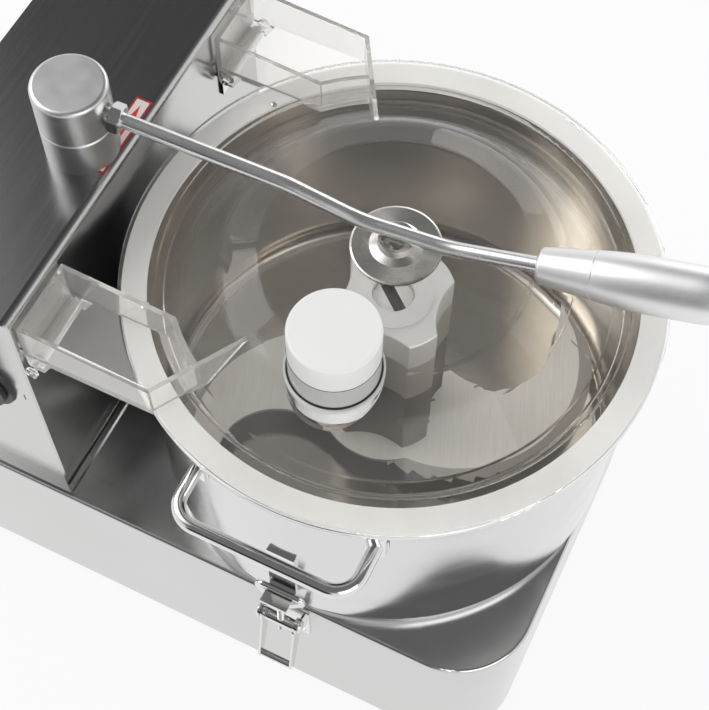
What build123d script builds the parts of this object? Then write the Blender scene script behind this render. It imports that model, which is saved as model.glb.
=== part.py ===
"""Bench-top meat bowl cutter: plinth, drive housing, latched bowl, clear lid, press lever and S-blade.

Millimetres, +Z up. The model is drawn about the blade spindle: x runs from the drive housing (-) to the bowl
end (+), -y is the operator's side, z is 0 on the table. On export it moves along x so that the origin is at
the middle of the whole machine's footprint.
"""
import os
from math import atan2, cos, degrees, hypot, radians, sin, tan

from build123d import *

# ---- clearances ----
running_gap = 0.05      # radial clearance of a turning or sliding fit
body_gap = 0.3          # between faces of pieces that move past each other
sheet = 1.5             # stainless sheet of plinth, housing and bowl

# ---- plinth ----
foot_height = 12.0
foot_radius = 17.0
foot_inset = 38.0
plinth_height = 160.0
plinth_side_inset = 0.7         # bowl wall outside the plinth's side
plinth_front_inset = 2.7        # and outside its rounded bowl end
plinth_rear_ledge = 8.5         # behind the housing
plinth_nose_radius = 57.0
plinth_heel_radius = 14.0
plinth_edge_radius = 2.5
bottom_gap = 0.5                # bottom plate inside the plinth skirt
vent_rows = 3
vent_count = 9
vent_length = 34.0
vent_width = 4.0
vent_pitch = 12.0
foot_screw_radius = 3.0
foot_screw_head = 5.5
foot_screw_seat = 6.0
foot_pocket_radius = 7.0

# ---- drive housing ----
housing_front_gap = 1.6         # hinge ears to the front wall
housing_depth = 120.4
housing_side_inset = 8.4        # each side, from the plinth's side
housing_height = 235.4
housing_bend_radius = 6.0       # brake bend between front wall and top
housing_edge_radius = 1.2
skirt_width = 6.5
skirt_height = 3.0
louvre_rows = 8
louvre_columns = 3
louvre_length = 60.0
louvre_width = 4.0
louvre_pitch = 11.0
louvre_level = 0.62             # share of the housing's height
cover_screw_inset = 9.0
cover_screw_radius = 2.0
cover_screw_head = 4.0

# ---- bowl ----
bowl_radius = 165.7             # outside of the wall
bowl_height = 190.0             # seat to top of rim
bowl_corner_radius = 12.0
bowl_hole_radius = 25.0
bowl_neck_height = 7.0
rim_overhang = 10.3             # bead's outside from the wall
bead_radius = 3.0

# ---- bowl handles ----
handle_rod_radius = 4.75
handle_half_length = 62.0
handle_stand = 27.3             # bar's centre line from the bowl's wall
handle_drop = 38.0              # below the rim's top
handle_bend_radius = 17.0
handle_pad_width = 12.0
handle_pad_height = 32.0
handle_pad_thickness = 3.0

# ---- lid ----
gasket_thickness = 2.5
gasket_inner_step = 5.7         # inside the bowl's wall
gasket_outer_inset = 1.5        # inside the rim's bead
gasket_lip_height = 4.0
gasket_lip_thickness = 2.7
lid_overhang = 0.5              # outside the rim's bead
lid_thickness = 3.5
lid_groove_inset = 16.2         # bottom of the locating step, inside the bowl's wall
lid_groove_depth = 9.0
lid_flange_inset = 11.2
crown_height = 30.0             # flat crown above the flange's top
crown_radius = 86.0
crown_pad_radius = 14.0
crown_pad_height = 5.5

# ---- lid hinge ears ----
ear_width = 53.0
ear_outer_inset = 24.5          # outer wall's |y|, inside the lid's radius
ear_overhang = 5.5              # rear wall behind the lid's edge
ear_wall = 3.0
ear_height = 30.0
ear_front_height = 24.0
ear_slope_end = 85.0            # -x where the sloping top edge reaches its lowest
ear_end_angle = 121.0           # direction of the end wall from the spindle
ear_arc_inset = 34.5            # from the lid's edge
ear_end_inset = 70.5
lug_depth = 16.0
lug_length = 18.0
hinge_pin_radius = 2.5
hinge_drop = 11.0               # pin axis below the flange's top
hinge_inset = 6.0               # pin axis in front of the ears' rear wall
barrel_radius = 5.0
barrel_end_gap = 1.0

# ---- feed tube and plug ----
feed_x = 3.0
feed_y = -92.5
tube_radius = 28.0
tube_wall = 3.2
tube_height = 58.0              # tube top above the flange's top
tube_ring_radius = 30.6
tube_ring_height = 3.0
feed_boss_height = 34.0
plug_head_height = 23.0
plug_stem_length = 44.0
plug_edge_radius = 2.0
plug_stem_gap = 0.4
plug_wall = 3.5

# ---- pressure disc ----
disc_radius = 29.0
disc_thickness = 2.5
cup_radius = 12.0
cup_wall = 2.5
cup_floor = 2.0
disc_screw_radius = 4.5
disc_screw_height = 2.5
disc_screw_slot = 1.2

# ---- post and press lever ----
post_inset = 28.4               # post's axis behind the housing's front wall
post_y = -20.0
post_radius = 24.4
post_height = 28.6              # fixed lower part, above the housing
cap_height = 32.0
cap_edge_radius = 3.0
post_line_gap = 0.4
post_spindle_radius = 9.0
post_spindle_rise = 24.0
lever_rod_radius = 5.0
lever_rod_start = 14.0          # inside the cap, from the post's axis
lever_bend_radius = 70.0
lever_root_drop = 18.5          # rod axis below the cap's top, at the cap
lever_low_height = 52.0         # rod axis over the lid's centre, above the flange's top
lever_knee_height = 66.5
lever_knee_reach = 141.0
lever_low_start = 190.0
lever_low_end = 246.0
lever_rise = 13.0               # degrees, low run up to the grip
grip_start = 302.0
grip_length = 124.0
grip_nose_radius = 11.5
grip_joint_at = 34.0
grip_joint_radius = 15.0
grip_belly_radius = 17.0
grip_end_radius = 12.5
grip_socket = 62.0
locknut_flats = 17.0
locknut_thickness = 8.0

# ---- blade hub stack; levels in it are measured down from the lid flange's top ----
star_top = 21.0
star_height = 30.0
middle_spacer_height = 34.0
hub_height = 44.0
blade_rise = 24.0               # blade's top above the deck
lobe_radius = 41.5
lobe_waist = 30.5
lobe_half_angle = 14.5
lobe_turn = -36.0
star_boss_radius = 26.0
star_boss_height = 1.5
shaft_radius = 14.0
shaft_top_recess = 5.0
shaft_slot_width = 8.0
shaft_slot_turn = 140.0
shaft_slot_depth = 7.0

# ---- S-blade ----
blade_thickness = 3.2
wing_inset = 61.2               # radius of the wing's edge, less than the bowl's
wing_centre = (30.0, 55.0)
wing_tip = (55.8, 8.7)          # direction in degrees about the wing's centre, distance inside its edge
wing_inner_line = ((39.8, 24.9), (15.1, 37.7), (-7.1, 54.6))
wing_hub_line = ((52, 39), (28, 43))
wing_root_line = ((-6, 12), (-6, -14))
wing_bevel = 10.0
wing_edge = 0.5
blade_hub_radius = 50.0
hub_collar_radius = 32.0
hub_collar_height = 9.0
tooth_count = 8
tooth_first_angle = -94.0
tooth_pitch = 8.9               # degrees about the wing's centre
tooth_depth = 4.2
tooth_step = 0.16               # share of the pitch taken by the steep flank

# ---- spindle, bearings and belt drive ----
nose_radius = 22.0
nose_height = 9.0               # above the deck
cartridge_radius = 39.0
cartridge_depth = 78.0
cartridge_flange_radius = 58.0
cartridge_flange_thickness = 6.0
journal_radius = 15.0
seal_radius = 19.0
cartridge_screws = 4
cartridge_screw_radius = 3.0
cartridge_screw_head = 5.5
cartridge_screw_circle = 49.0
spindle_bearing_radius = 31.0
spindle_bearing_width = 16.0
pulley_seat_radius = 12.0
belt_level = 58.0               # belt centre above the table
belt_width = 12.0
belt_thickness = 5.0
pulley_flange = 2.0
pulley_lip = 4.0
spindle_pulley_radius = 45.0
motor_pulley_radius = 30.0
motor_radius = 50.0
motor_length = 120.0
motor_fin_height = 5.0
motor_fin_count = 20
motor_flange_thickness = 10.0
motor_plate_thickness = 4.0
capacitor_radius = 19.0
capacitor_height = 78.0
capacitor_tab = 6.0
capacitor_y = 105.0
motor_shaft_radius = 10.0
motor_bearing_radius = 23.5
motor_bearing_width = 14.0
rotor_radius = 26.0
rotor_air_gap = 0.8

# ---- draw latches ----
latch_plate_width = 36.0
latch_plate_height = 44.0
latch_plate_top = 5.0           # below the deck
latch_cheek = 15.5              # |x| of the cheeks' outer faces
latch_cheek_thickness = 1.6
latch_pivot_out = 11.0          # from the plinth's side
latch_pivot_down = 8.0          # below the deck
latch_pivot_radius = 2.2
latch_crank = 9.0               # pivot to cross pin
latch_over_centre = 1.5
latch_arm_thickness = 1.8
latch_arm_width = 8.0
latch_eye_radius = 6.0
latch_grip_radius = 2.8
latch_rivet_radius = 3.0
latch_rivet_x = 12.0
latch_lever_drop = 64.0         # pivot to the lever's tip
latch_lever_kick = 11.0         # the tip stands this much further out than the pivot
trunnion_radius = 4.5
stud_radius = 2.6
stud_tail = 9.0
bail_radius = 2.2
bail_half_width = 21.0
bail_bar_up = 38.0              # bail bar above the deck
bail_apex_up = 15.0
bail_bar_out = 7.5
bail_foot = 4.0                 # half width of the loop where it meets the yoke
bail_bend_radius = 4.0
bail_yoke_wall = 1.2
hook_width = 20.0
hook_thickness = 2.5
hook_lip_height = 1.0           # the bail bar rides over it as the lever lifts
hook_lip_thickness = 2.0
hook_slack = 6.9                # room in front of the bail bar, behind the lip
hook_plate_height = 62.0

# ---- rotary switch on the operator's side ----
switch_inset = 42.4             # axis behind the housing's front wall
switch_up = 136.0               # above the deck
switch_knob_radius = 22.0
switch_knob_height = 13.0
switch_bezel_radius = 27.0
switch_bezel_height = 3.0
switch_stem_radius = 4.0

# ---- cable gland on the rear cover ----
gland_y = 90.0
gland_up = 40.0
gland_bore_radius = 4.0
gland_length = 22.0
gland_hex = 22.0

# ---- levels and places that follow ----
bowl_inner = bowl_radius - sheet
rim_radius = bowl_radius + rim_overhang
handle_reach = bowl_radius + handle_stand
gasket_inner_radius = bowl_inner - gasket_inner_step
gasket_outer_radius = rim_radius - gasket_outer_inset
lid_radius = rim_radius + lid_overhang
lid_groove_radius = bowl_inner - lid_groove_inset
lid_flange_inner = bowl_inner - lid_flange_inset
ear_outer = lid_radius - ear_outer_inset
ear_inner = ear_outer - ear_width
ear_rear = lid_radius + ear_overhang                # -x of the ears' rear walls
ear_arc_radius = lid_radius - ear_arc_inset
ear_end_inner_radius = lid_radius - ear_end_inset
hinge_back = ear_rear - hinge_inset
plinth_width = 2 * (bowl_radius - plinth_side_inset)
plinth_front_reach = bowl_radius - plinth_front_inset
housing_front = ear_rear + housing_front_gap        # spindle axis to the front wall
housing_rear = housing_front + housing_depth
housing_width = plinth_width - 2 * housing_side_inset
plinth_rear_reach = housing_rear + plinth_rear_ledge
post_x = -housing_front - post_inset
switch_x = -housing_front - switch_inset
deck = foot_height + plinth_height
rim_top = deck + bowl_height
flange_top = rim_top + gasket_thickness + lid_thickness
housing_top = deck + housing_height
star_bottom = star_top + star_height
hub_bottom = flange_top - deck - blade_rise
middle_spacer_bottom = hub_bottom - hub_height
upper_spacer_bottom = middle_spacer_bottom - middle_spacer_height
wing_radius = bowl_inner - wing_inset
motor_x = -(housing_front + housing_rear) / 2
cap_top = housing_top + post_height + post_line_gap + cap_height
lever_turn = degrees(atan2(-post_y, -post_x))       # the lever points from the post to the lid's centre
lever_root_height = cap_top - lever_root_drop - flange_top
lever_slope = degrees(atan2(lever_root_height - lever_knee_height, lever_knee_reach - lever_rod_start))
cup_top = lever_low_height - lever_rod_radius - body_gap
motor_floor = deck + motor_plate_thickness
stator_floor = motor_floor + motor_flange_thickness
stator_top = stator_floor + motor_length
pin_out = latch_pivot_out - latch_over_centre       # the latch's cross pin, from the plinth's side
pin_down = latch_pivot_down + (latch_crank ** 2 - latch_over_centre ** 2) ** 0.5
latch_tip_out = latch_pivot_out + latch_lever_kick
latch_tip_down = latch_pivot_down + latch_lever_drop
bail_length = hypot(bail_bar_out - pin_out, bail_bar_up + pin_down)
grip_end_reach = grip_start + grip_length * cos(radians(lever_rise))
overall_front = post_x + grip_end_reach * cos(radians(lever_turn))
overall_rear = max(plinth_rear_reach, housing_rear + gland_length)
footprint_shift = (overall_rear - overall_front) / 2


def turned(*points):
    """A solid turned about the z axis from (radius, height) points."""
    return revolve(make_face(Plane.XZ * Polyline(*points, close=True)), Axis.Z)


def tube(outer, inner, height):
    return extrude(Circle(outer) - Circle(inner), height)


def mirrored(solid):
    """The same piece on the far side of the machine."""
    return mirror(solid, about=Plane.XZ)


def pair(solid):
    return Part() + [solid, mirrored(solid)]


# ================= plinth =================
def plinth_outline(inset=0.0):
    length = plinth_front_reach + plinth_rear_reach - 2 * inset
    blank = Pos((plinth_front_reach - plinth_rear_reach) / 2, 0) * Rectangle(length, plinth_width - 2 * inset)
    ends = blank.vertices().sort_by(Axis.X)
    blank = fillet(ends[-2:], plinth_nose_radius - inset)
    return fillet(blank.vertices().sort_by(Axis.X)[:2], plinth_heel_radius - inset)


def foot_places():
    front = plinth_front_reach - foot_inset
    rear = -plinth_rear_reach + foot_inset
    side = plinth_width / 2 - foot_inset
    return [(x, y) for x in (rear, front) for y in (-side, side)]


def plinth_shell():
    block = Pos(0, 0, foot_height) * extrude(plinth_outline(), plinth_height)
    block = fillet(block.edges().group_by(Axis.Z)[-1], plinth_edge_radius)
    hollow = Pos(0, 0, foot_height) * extrude(plinth_outline(sheet), plinth_height - sheet)
    shaft_hole = Pos(0, 0, deck - 2 * sheet) * Cylinder(nose_radius + body_gap, 4 * sheet)
    motor_hole = Pos(motor_x, 0, deck - 2 * sheet) * Cylinder(motor_pulley_radius + 12, 4 * sheet)
    return block - hollow - shaft_hole - motor_hole


def bottom_plate():
    plate = extrude(plinth_outline(sheet + bottom_gap), sheet)
    vents = GridLocations(vent_length * 1.5, vent_pitch, vent_rows, vent_count)
    plate -= extrude(Sketch() + vents * SlotOverall(vent_length, vent_width), sheet)
    for place in foot_places():
        plate -= Pos(*place) * Cylinder(foot_screw_radius + running_gap, 4 * sheet)
    return Pos(0, 0, foot_height) * plate


def rubber_foot():
    collar = foot_radius - 2
    foot = turned((0, 0), (collar, 0), (foot_radius, 2), (collar, foot_height), (0, foot_height))
    foot -= extrude(Circle(foot_pocket_radius), foot_screw_seat)
    return foot - Cylinder(foot_screw_radius + running_gap, 3 * foot_height)


def foot_screw():
    """Pan-head screw up through the foot, with its nut above the bottom plate."""
    head = Pos(0, 0, -3.5) * extrude(Circle(foot_screw_head), 3.5)
    cross = Pos(0, 0, -3.5) * (Box(foot_screw_head, 1.2, 2) + Box(1.2, foot_screw_head, 2))
    grip = foot_height - foot_screw_seat + sheet
    shank = extrude(Circle(foot_screw_radius), grip + 8)
    nut = Pos(0, 0, grip) * extrude(RegularPolygon(foot_screw_head, 6), 5)
    return Pos(0, 0, foot_screw_seat) * (head + shank + nut - cross)


# ================= drive housing =================
def housing_block():
    block = Box(housing_depth, housing_width, housing_height)
    block = Pos(-housing_front - housing_depth / 2, 0, deck + housing_height / 2) * block
    bend = block.edges().filter_by(Axis.Y).group_by(Axis.Z)[-1].sort_by(Axis.X)[-1]
    block = fillet(bend, housing_bend_radius)
    return chamfer(block.edges().filter_by(Axis.X).group_by(Axis.Z)[-1], housing_edge_radius)


def rear_slab():
    slab = Box(sheet, 2 * housing_width, 2 * housing_height)
    return Pos(-housing_rear + sheet / 2, 0, deck + housing_height / 2) * slab


def housing_shell():
    inner_height = housing_height - sheet
    cavity = Box(housing_depth, housing_width - 2 * sheet, inner_height)
    cavity = Pos(-housing_front - sheet - housing_depth / 2, 0, deck + inner_height / 2) * cavity
    bend = cavity.edges().filter_by(Axis.Y).group_by(Axis.Z)[-1].sort_by(Axis.X)[-1]
    cavity = fillet(bend, housing_bend_radius - sheet)
    spindle_hole = Pos(post_x, post_y, housing_top) * Cylinder(post_spindle_radius + running_gap, 4 * sheet)
    stem_hole = Pos(switch_x, -housing_width / 2, deck + switch_up)
    stem_hole *= Rot(90, 0, 0) * Cylinder(switch_stem_radius + 2, 4 * sheet)
    return housing_block() - rear_slab() - cavity - spindle_hole - stem_hole


def cover_screw_places():
    side = housing_width / 2 - cover_screw_inset
    levels = (deck + cover_screw_inset, deck + housing_height / 2, housing_top - cover_screw_inset)
    return [(y, z) for y in (-side, side) for z in levels]


def rear_cover():
    cover = housing_block() & rear_slab()
    level = deck + housing_height * louvre_level
    face = Plane(origin=(-housing_rear, 0, level), x_dir=(0, 1, 0), z_dir=(-1, 0, 0))
    slots = GridLocations(louvre_length * 1.3, louvre_pitch, louvre_columns, louvre_rows)
    slots = Sketch() + slots * SlotOverall(louvre_length, louvre_width)
    cover -= face * extrude(slots, 2 * sheet, both=True)
    gland = Plane(origin=(-housing_rear, gland_y, deck + gland_up), x_dir=(0, 1, 0), z_dir=(-1, 0, 0))
    cover -= gland * Cylinder(gland_bore_radius + 4, 4 * sheet)
    for y, z in cover_screw_places():
        hole = Cylinder(cover_screw_radius + running_gap, 4 * sheet)
        cover -= Pos(-housing_rear, y, z) * Rot(0, 90, 0) * hole
    return cover


def cover_screws():
    """Dome-head screws into a nut strip behind the cover's edge."""
    screws = []
    for y, z in cover_screw_places():
        at = Plane(origin=(-housing_rear, y, z), x_dir=(0, 1, 0), z_dir=(-1, 0, 0))
        head = turned((0, 0), (cover_screw_head, 0), (3.4, 1.4), (1.8, 2.3), (0, 2.5))
        shank = Pos(0, 0, -7) * extrude(Circle(cover_screw_radius), 7)
        screws.append(at * (head + shank))
    return Part() + screws


def housing_skirt():
    """Folded weld strip round the housing's foot."""
    foot = Rectangle(housing_depth, housing_width)
    strip = extrude(offset(foot, skirt_width, kind=Kind.INTERSECTION) - foot, skirt_height)
    outer = strip.edges().group_by(Axis.Z)[-1].filter_by(lambda e: e.length > housing_depth + 1)
    strip = chamfer(outer, skirt_height * 0.45)
    return Pos(-housing_front - housing_depth / 2, 0, deck) * strip


# ================= post and press lever =================
def post_base():
    body = turned(
        (0, 0), (post_radius, 0), (post_radius, post_height - 1), (post_radius - 1, post_height),
        (0, post_height),
    )
    body -= Pos(0, 0, post_height / 2) * Cylinder(post_spindle_radius + running_gap, 2 * post_height)
    return Pos(post_x, post_y, housing_top) * body


def post_spindle():
    """Shoulder bolt: a nut under the housing's top, a plain journal up into the cap."""
    below = 14.0
    length = below + post_height + post_spindle_rise
    journal = Pos(0, 0, -below) * extrude(Circle(post_spindle_radius), length)
    nut = Pos(0, 0, -sheet - 8) * extrude(RegularPolygon(15, 6), 8)
    spindle = journal + nut
    top = spindle.edges().group_by(Axis.Z)[-1]
    return Pos(post_x, post_y, housing_top) * chamfer(top, 1)


def lever_frame():
    """Where the lever hangs: at the post's axis on the lid's level, x out along the rod, z up."""
    return Pos(post_x, post_y, flange_top) * Rot(0, 0, lever_turn)


def rod_root():
    """The rod's first point, with z running out along the rod."""
    return lever_frame() * Pos(lever_rod_start, 0, lever_root_height) * Rot(0, 90 + lever_slope, 0)


def lever_cap():
    bottom = housing_top + post_height + post_line_gap
    cap = extrude(Circle(post_radius), cap_height)
    cap = fillet(cap.edges().group_by(Axis.Z)[-1], cap_edge_radius)
    cap = chamfer(cap.edges().group_by(Axis.Z)[0], 0.8)
    cap -= extrude(Circle(post_spindle_radius + running_gap), post_spindle_rise + 1)
    cap = Pos(post_x, post_y, bottom) * cap
    return cap - rod_root() * extrude(Circle(lever_rod_radius), 2 * post_radius)


def lever_locknut():
    hexagon = RegularPolygon(locknut_flats / 2, 6, major_radius=False)
    nut = extrude(hexagon, locknut_thickness)
    corner = locknut_flats / 2 / cos(radians(30))
    face = locknut_flats / 2 - 0.3
    nut = nut & turned(
        (0, 0), (face, 0), (corner, 1), (corner, locknut_thickness - 1), (face, locknut_thickness),
        (0, locknut_thickness),
    )
    nut -= extrude(Circle(lever_rod_radius), locknut_thickness)
    lean = radians(abs(lever_slope))
    seat = (post_radius - lever_rod_start) / cos(lean) + corner * tan(lean)
    return rod_root() * Pos(0, 0, seat) * nut


def lever_points():
    """The rod's corners in the lever's frame, from the cap to inside the grip."""
    end = grip_start + grip_socket
    climb = (end - lever_low_end) * tan(radians(lever_rise))
    return [
        (lever_rod_start, 0, lever_root_height),
        (lever_knee_reach, 0, lever_knee_height),
        (lever_low_start, 0, lever_low_height),
        (lever_low_end, 0, lever_low_height),
        (end, 0, lever_low_height + climb),
    ]


def lever_rod():
    path = FilletPolyline(*lever_points(), radius=lever_bend_radius)
    start = Plane(origin=path @ 0, z_dir=path % 0)
    return lever_frame() * sweep(start * Circle(lever_rod_radius), path=path)


def lever_grip():
    rise = (grip_start - lever_low_end) * tan(radians(lever_rise))
    socket_end = (grip_socket + 1) / cos(radians(lever_rise))
    bore = lever_rod_radius
    belly = grip_length * 0.72
    lower = Spline((grip_nose_radius, 3), (grip_joint_radius, grip_joint_at))
    upper = Spline(
        (grip_joint_radius, grip_joint_at + 0.8), (grip_belly_radius, belly),
        (grip_end_radius, grip_length - 6),
        tangents=[(0.12, 1), (-0.6, 1)],
    )
    nose = Line((bore, 0), (grip_nose_radius - 3, 0))
    nose += RadiusArc((grip_nose_radius - 3, 0), (grip_nose_radius, 3), -3)
    joint = Polyline(
        (grip_joint_radius, grip_joint_at), (grip_joint_radius - 0.6, grip_joint_at + 0.4),
        (grip_joint_radius, grip_joint_at + 0.8),
    )
    tail = Polyline((grip_end_radius, grip_length - 6), (grip_end_radius - 5, grip_length), (0, grip_length))
    core = Polyline((0, grip_length), (0, socket_end), (bore, socket_end), (bore, 0))
    outline = nose + lower + joint + upper + tail + core
    grip = revolve(Plane.XZ * make_face(outline), Axis.Z)
    at_start = Pos(grip_start, 0, lever_low_height + rise) * Rot(0, 90 - lever_rise, 0)
    return lever_frame() * at_start * grip


# ================= bowl =================
def cup_side(radius, floor, top, corner_radius):
    """Half section of a straight-sided cup with a rounded bottom corner."""
    half = Polyline((0, floor), (radius, floor), (radius, top), (0, top), close=True)
    half = make_face(Plane.XZ * half)
    corner = half.vertices().group_by(Axis.Z)[0].sort_by(Axis.X)[-1]
    return fillet(corner, corner_radius)


def bowl():
    """Wall and floor, with a short neck round the spindle's nose."""
    top = bowl_height - sheet
    outside = cup_side(bowl_radius, 0, top, bowl_corner_radius)
    inside = cup_side(bowl_inner, sheet, bowl_height, bowl_corner_radius - sheet)
    wall = revolve(outside, Axis.Z) - revolve(inside, Axis.Z)
    neck = tube(bowl_hole_radius + sheet, bowl_hole_radius, bowl_neck_height)
    return Pos(0, 0, deck) * (wall - extrude(Circle(bowl_hole_radius + sheet / 2), 2 * sheet) + neck)


def bowl_rim():
    """Flat flange on top of the wall, rolled into a bead at its edge."""
    bead_centre = rim_radius - bead_radius
    flange = Pos(0, 0, -sheet) * tube(bead_centre, bowl_inner, sheet)
    bead = revolve(Plane.XZ * Pos(bead_centre, -bead_radius) * Circle(bead_radius), Axis.Z)
    return Pos(0, 0, rim_top) * (flange + bead)


def handle():
    """Bent round bar with an upright pad welded to the bowl at each end."""
    level = rim_top - handle_drop
    outside_wall = (bowl_radius ** 2 - handle_half_length ** 2) ** 0.5
    end_y = -outside_wall - handle_pad_thickness / 2
    points = [
        (-handle_half_length, end_y), (-handle_half_length, -handle_reach),
        (handle_half_length, -handle_reach), (handle_half_length, end_y),
    ]
    path = FilletPolyline(*points, radius=handle_bend_radius)
    start = Plane(origin=path @ 0, z_dir=path % 0)
    bar = sweep(start * Circle(handle_rod_radius), path=path)
    pads = []
    for side in (-1, 1):
        pad = Box(handle_pad_width, 3 * handle_pad_thickness, handle_pad_height)
        pad = fillet(pad.edges().filter_by(Axis.Y), handle_pad_width / 2 - 0.1)
        pads.append(Pos(side * handle_half_length, end_y, 0) * pad)
    shell = tube(bowl_radius + handle_pad_thickness, bowl_radius, 2 * handle_pad_height)
    shell = Pos(0, 0, -handle_pad_height) * shell
    reach_in = Pos(0, 0, -handle_pad_height) * extrude(Circle(bowl_radius), 2 * handle_pad_height)
    return Pos(0, 0, level) * ((Part() + pads) & shell) + Pos(0, 0, level) * (bar - reach_in)


def hook():
    """Catch on the bowl: a tongue that runs out under the bail's bar and turns up in a low lip."""
    seat = deck + bail_bar_up - bail_radius - body_gap
    lip = bail_bar_out + bail_radius + hook_slack
    face = plinth_width / 2
    back = bowl_radius - face - 1
    front = back + hook_thickness + 1
    tip = lip + hook_lip_thickness
    top = hook_plate_height - hook_thickness
    side = Polyline(
        (back, top), (back, -hook_thickness), (tip, -hook_thickness), (tip, hook_lip_height),
        (lip, hook_lip_height), (lip, 0), (front, 0), (front, top), close=True,
    )
    plane = Plane(origin=(hook_width / 2, -face, seat), x_dir=(0, -1, 0), z_dir=(-1, 0, 0))
    catch = plane * extrude(make_face(side), hook_width)
    return catch - Pos(0, 0, deck) * extrude(Circle(bowl_radius), bowl_height)


# ================= lid =================
def crown_line(drop=0.0):
    """Half section of the lid's top face, from the flange's edge in to the axis."""
    points = [
        (lid_radius, 0), (lid_flange_inner, 0), (lid_groove_radius, -lid_groove_depth),
        (lid_groove_radius - 8, -lid_groove_depth + 4), (crown_radius + 22, crown_height - 7),
        (crown_radius, crown_height), (0, crown_height),
    ]
    return FilletPolyline(*[(r, z - drop) for r, z in points], radius=[1.5, 1.5, 3, 30, 8])


def lid_shell():
    top = crown_line()
    under = crown_line(lid_thickness)
    close_rim = Line((lid_radius, 0), (lid_radius, -lid_thickness))
    close_axis = Line((0, crown_height), (0, crown_height - lid_thickness))
    return revolve(Plane.XZ * make_face(top + under + close_rim + close_axis), Axis.Z)


def below_crown():
    """Everything under the lid's top face, to trim what stands on it."""
    low = -3 * lug_depth
    side = Polyline((lid_radius, 0), (lid_radius, low), (0, low), (0, crown_height))
    return revolve(Plane.XZ * make_face(crown_line() + side), Axis.Z)


def ear_plan(inset):
    """Plan of one ear, cut off by the end wall's direction and the arc inside the flange."""
    far = lid_radius / 3
    block = Pos(-(ear_rear + far) / 2, (ear_inner + ear_outer) / 2)
    block *= Rectangle(ear_rear - far - 2 * inset, ear_outer - ear_inner - 2 * inset)
    beyond = Pos(lid_radius, inset - lid_radius) * Rectangle(2 * lid_radius, 2 * lid_radius)
    beyond = Rot(0, 0, ear_end_angle) * beyond
    return block - beyond - Circle(ear_arc_radius + inset)


def lid_ear():
    """Open well over one hinge, moulded on the lid's flange."""
    low = -lid_thickness
    outer = Pos(0, 0, low) * extrude(ear_plan(0), ear_height - low)
    cavity = extrude(ear_plan(ear_wall), ear_height + 1)
    end_wall = Pos((ear_end_inner_radius + lid_radius) / 2, ear_wall / 2, (low + ear_height) / 2)
    end_wall *= Box(lid_radius - ear_end_inner_radius, ear_wall, ear_height - low)
    end_wall = Rot(0, 0, ear_end_angle) * end_wall
    box = outer - cavity + end_wall
    slope = degrees(atan2(ear_height - ear_front_height, ear_rear - ear_slope_end))
    above = Pos(lid_radius / 2, 0, ear_height) * Box(2 * lid_radius, 4 * lid_radius, 2 * ear_height)
    over = Pos(-ear_rear, 0, ear_height) * Rot(0, slope, 0) * above
    return Pos(0, 0, flange_top) * (box - over - below_crown() + ear_lugs())


def ear_lugs():
    """Two plates under the ear's floor that carry the hinge pin."""
    shape = Polyline(
        (-ear_rear, -lid_thickness), (-ear_rear + lug_length, -lid_thickness), (-hinge_back + 5, -lug_depth),
        (-hinge_back - 4, -lug_depth), (-ear_rear, -hinge_drop), close=True,
    )
    plate = extrude(Plane.XZ * make_face(shape), ear_wall)
    hole = Cylinder(hinge_pin_radius + running_gap, 4 * ear_wall)
    plate -= Pos(-hinge_back, 0, -hinge_drop) * Rot(90, 0, 0) * hole
    return Part() + [Pos(0, ear_inner + ear_wall, 0) * plate, Pos(0, ear_outer, 0) * plate]


def feed_place(z=0.0):
    return Pos(feed_x, feed_y, z)


def lid():
    body = lid_shell()
    boss = extrude(Circle(tube_ring_radius - 0.5), feed_boss_height + lid_thickness)
    boss = feed_place(-lid_thickness) * boss
    skirt_cut = Pos(0, 0, -lid_thickness) * below_crown()
    body += boss - skirt_cut
    body -= feed_place(-30) * extrude(Circle(tube_radius - tube_wall), 100)
    pad = Pos(0, 0, crown_height - 1) * extrude(Circle(crown_pad_radius), crown_pad_height + 1)
    body += pad
    return Pos(0, 0, flange_top) * body


def lid_gasket():
    """White silicone ring between rim and flange, with a lip just inside the bowl's wall."""
    flat = tube(gasket_outer_radius, gasket_inner_radius, gasket_thickness)
    lip_outer = bowl_inner - body_gap
    lip = Pos(0, 0, -gasket_lip_height) * tube(lip_outer, lip_outer - gasket_lip_thickness, gasket_lip_height)
    return Pos(0, 0, rim_top) * (flat + lip)


def feed_tube():
    bore = tube_radius - tube_wall
    ring = tube(tube_ring_radius, bore, tube_ring_height)
    wall = tube(tube_radius, bore, tube_height - feed_boss_height)
    wall = chamfer(wall.edges().group_by(Axis.Z)[-1], 0.5)
    return feed_place(flange_top + feed_boss_height) * (ring + wall)


def feed_plug():
    """White pusher: a head that rests on the tube and a hollow stem down its bore."""
    head = extrude(Circle(tube_radius), plug_head_height)
    head = fillet(head.edges().group_by(Axis.Z)[-1], plug_edge_radius)
    stem_radius = tube_radius - tube_wall - plug_stem_gap
    stem = Pos(0, 0, -plug_stem_length) * extrude(Circle(stem_radius), plug_stem_length)
    hollow = extrude(Circle(stem_radius - plug_wall), plug_stem_length + plug_head_height - plug_wall)
    core = Pos(0, 0, -plug_stem_length) * hollow
    return feed_place(flange_top + tube_height + body_gap) * (head + stem - core)


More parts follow.
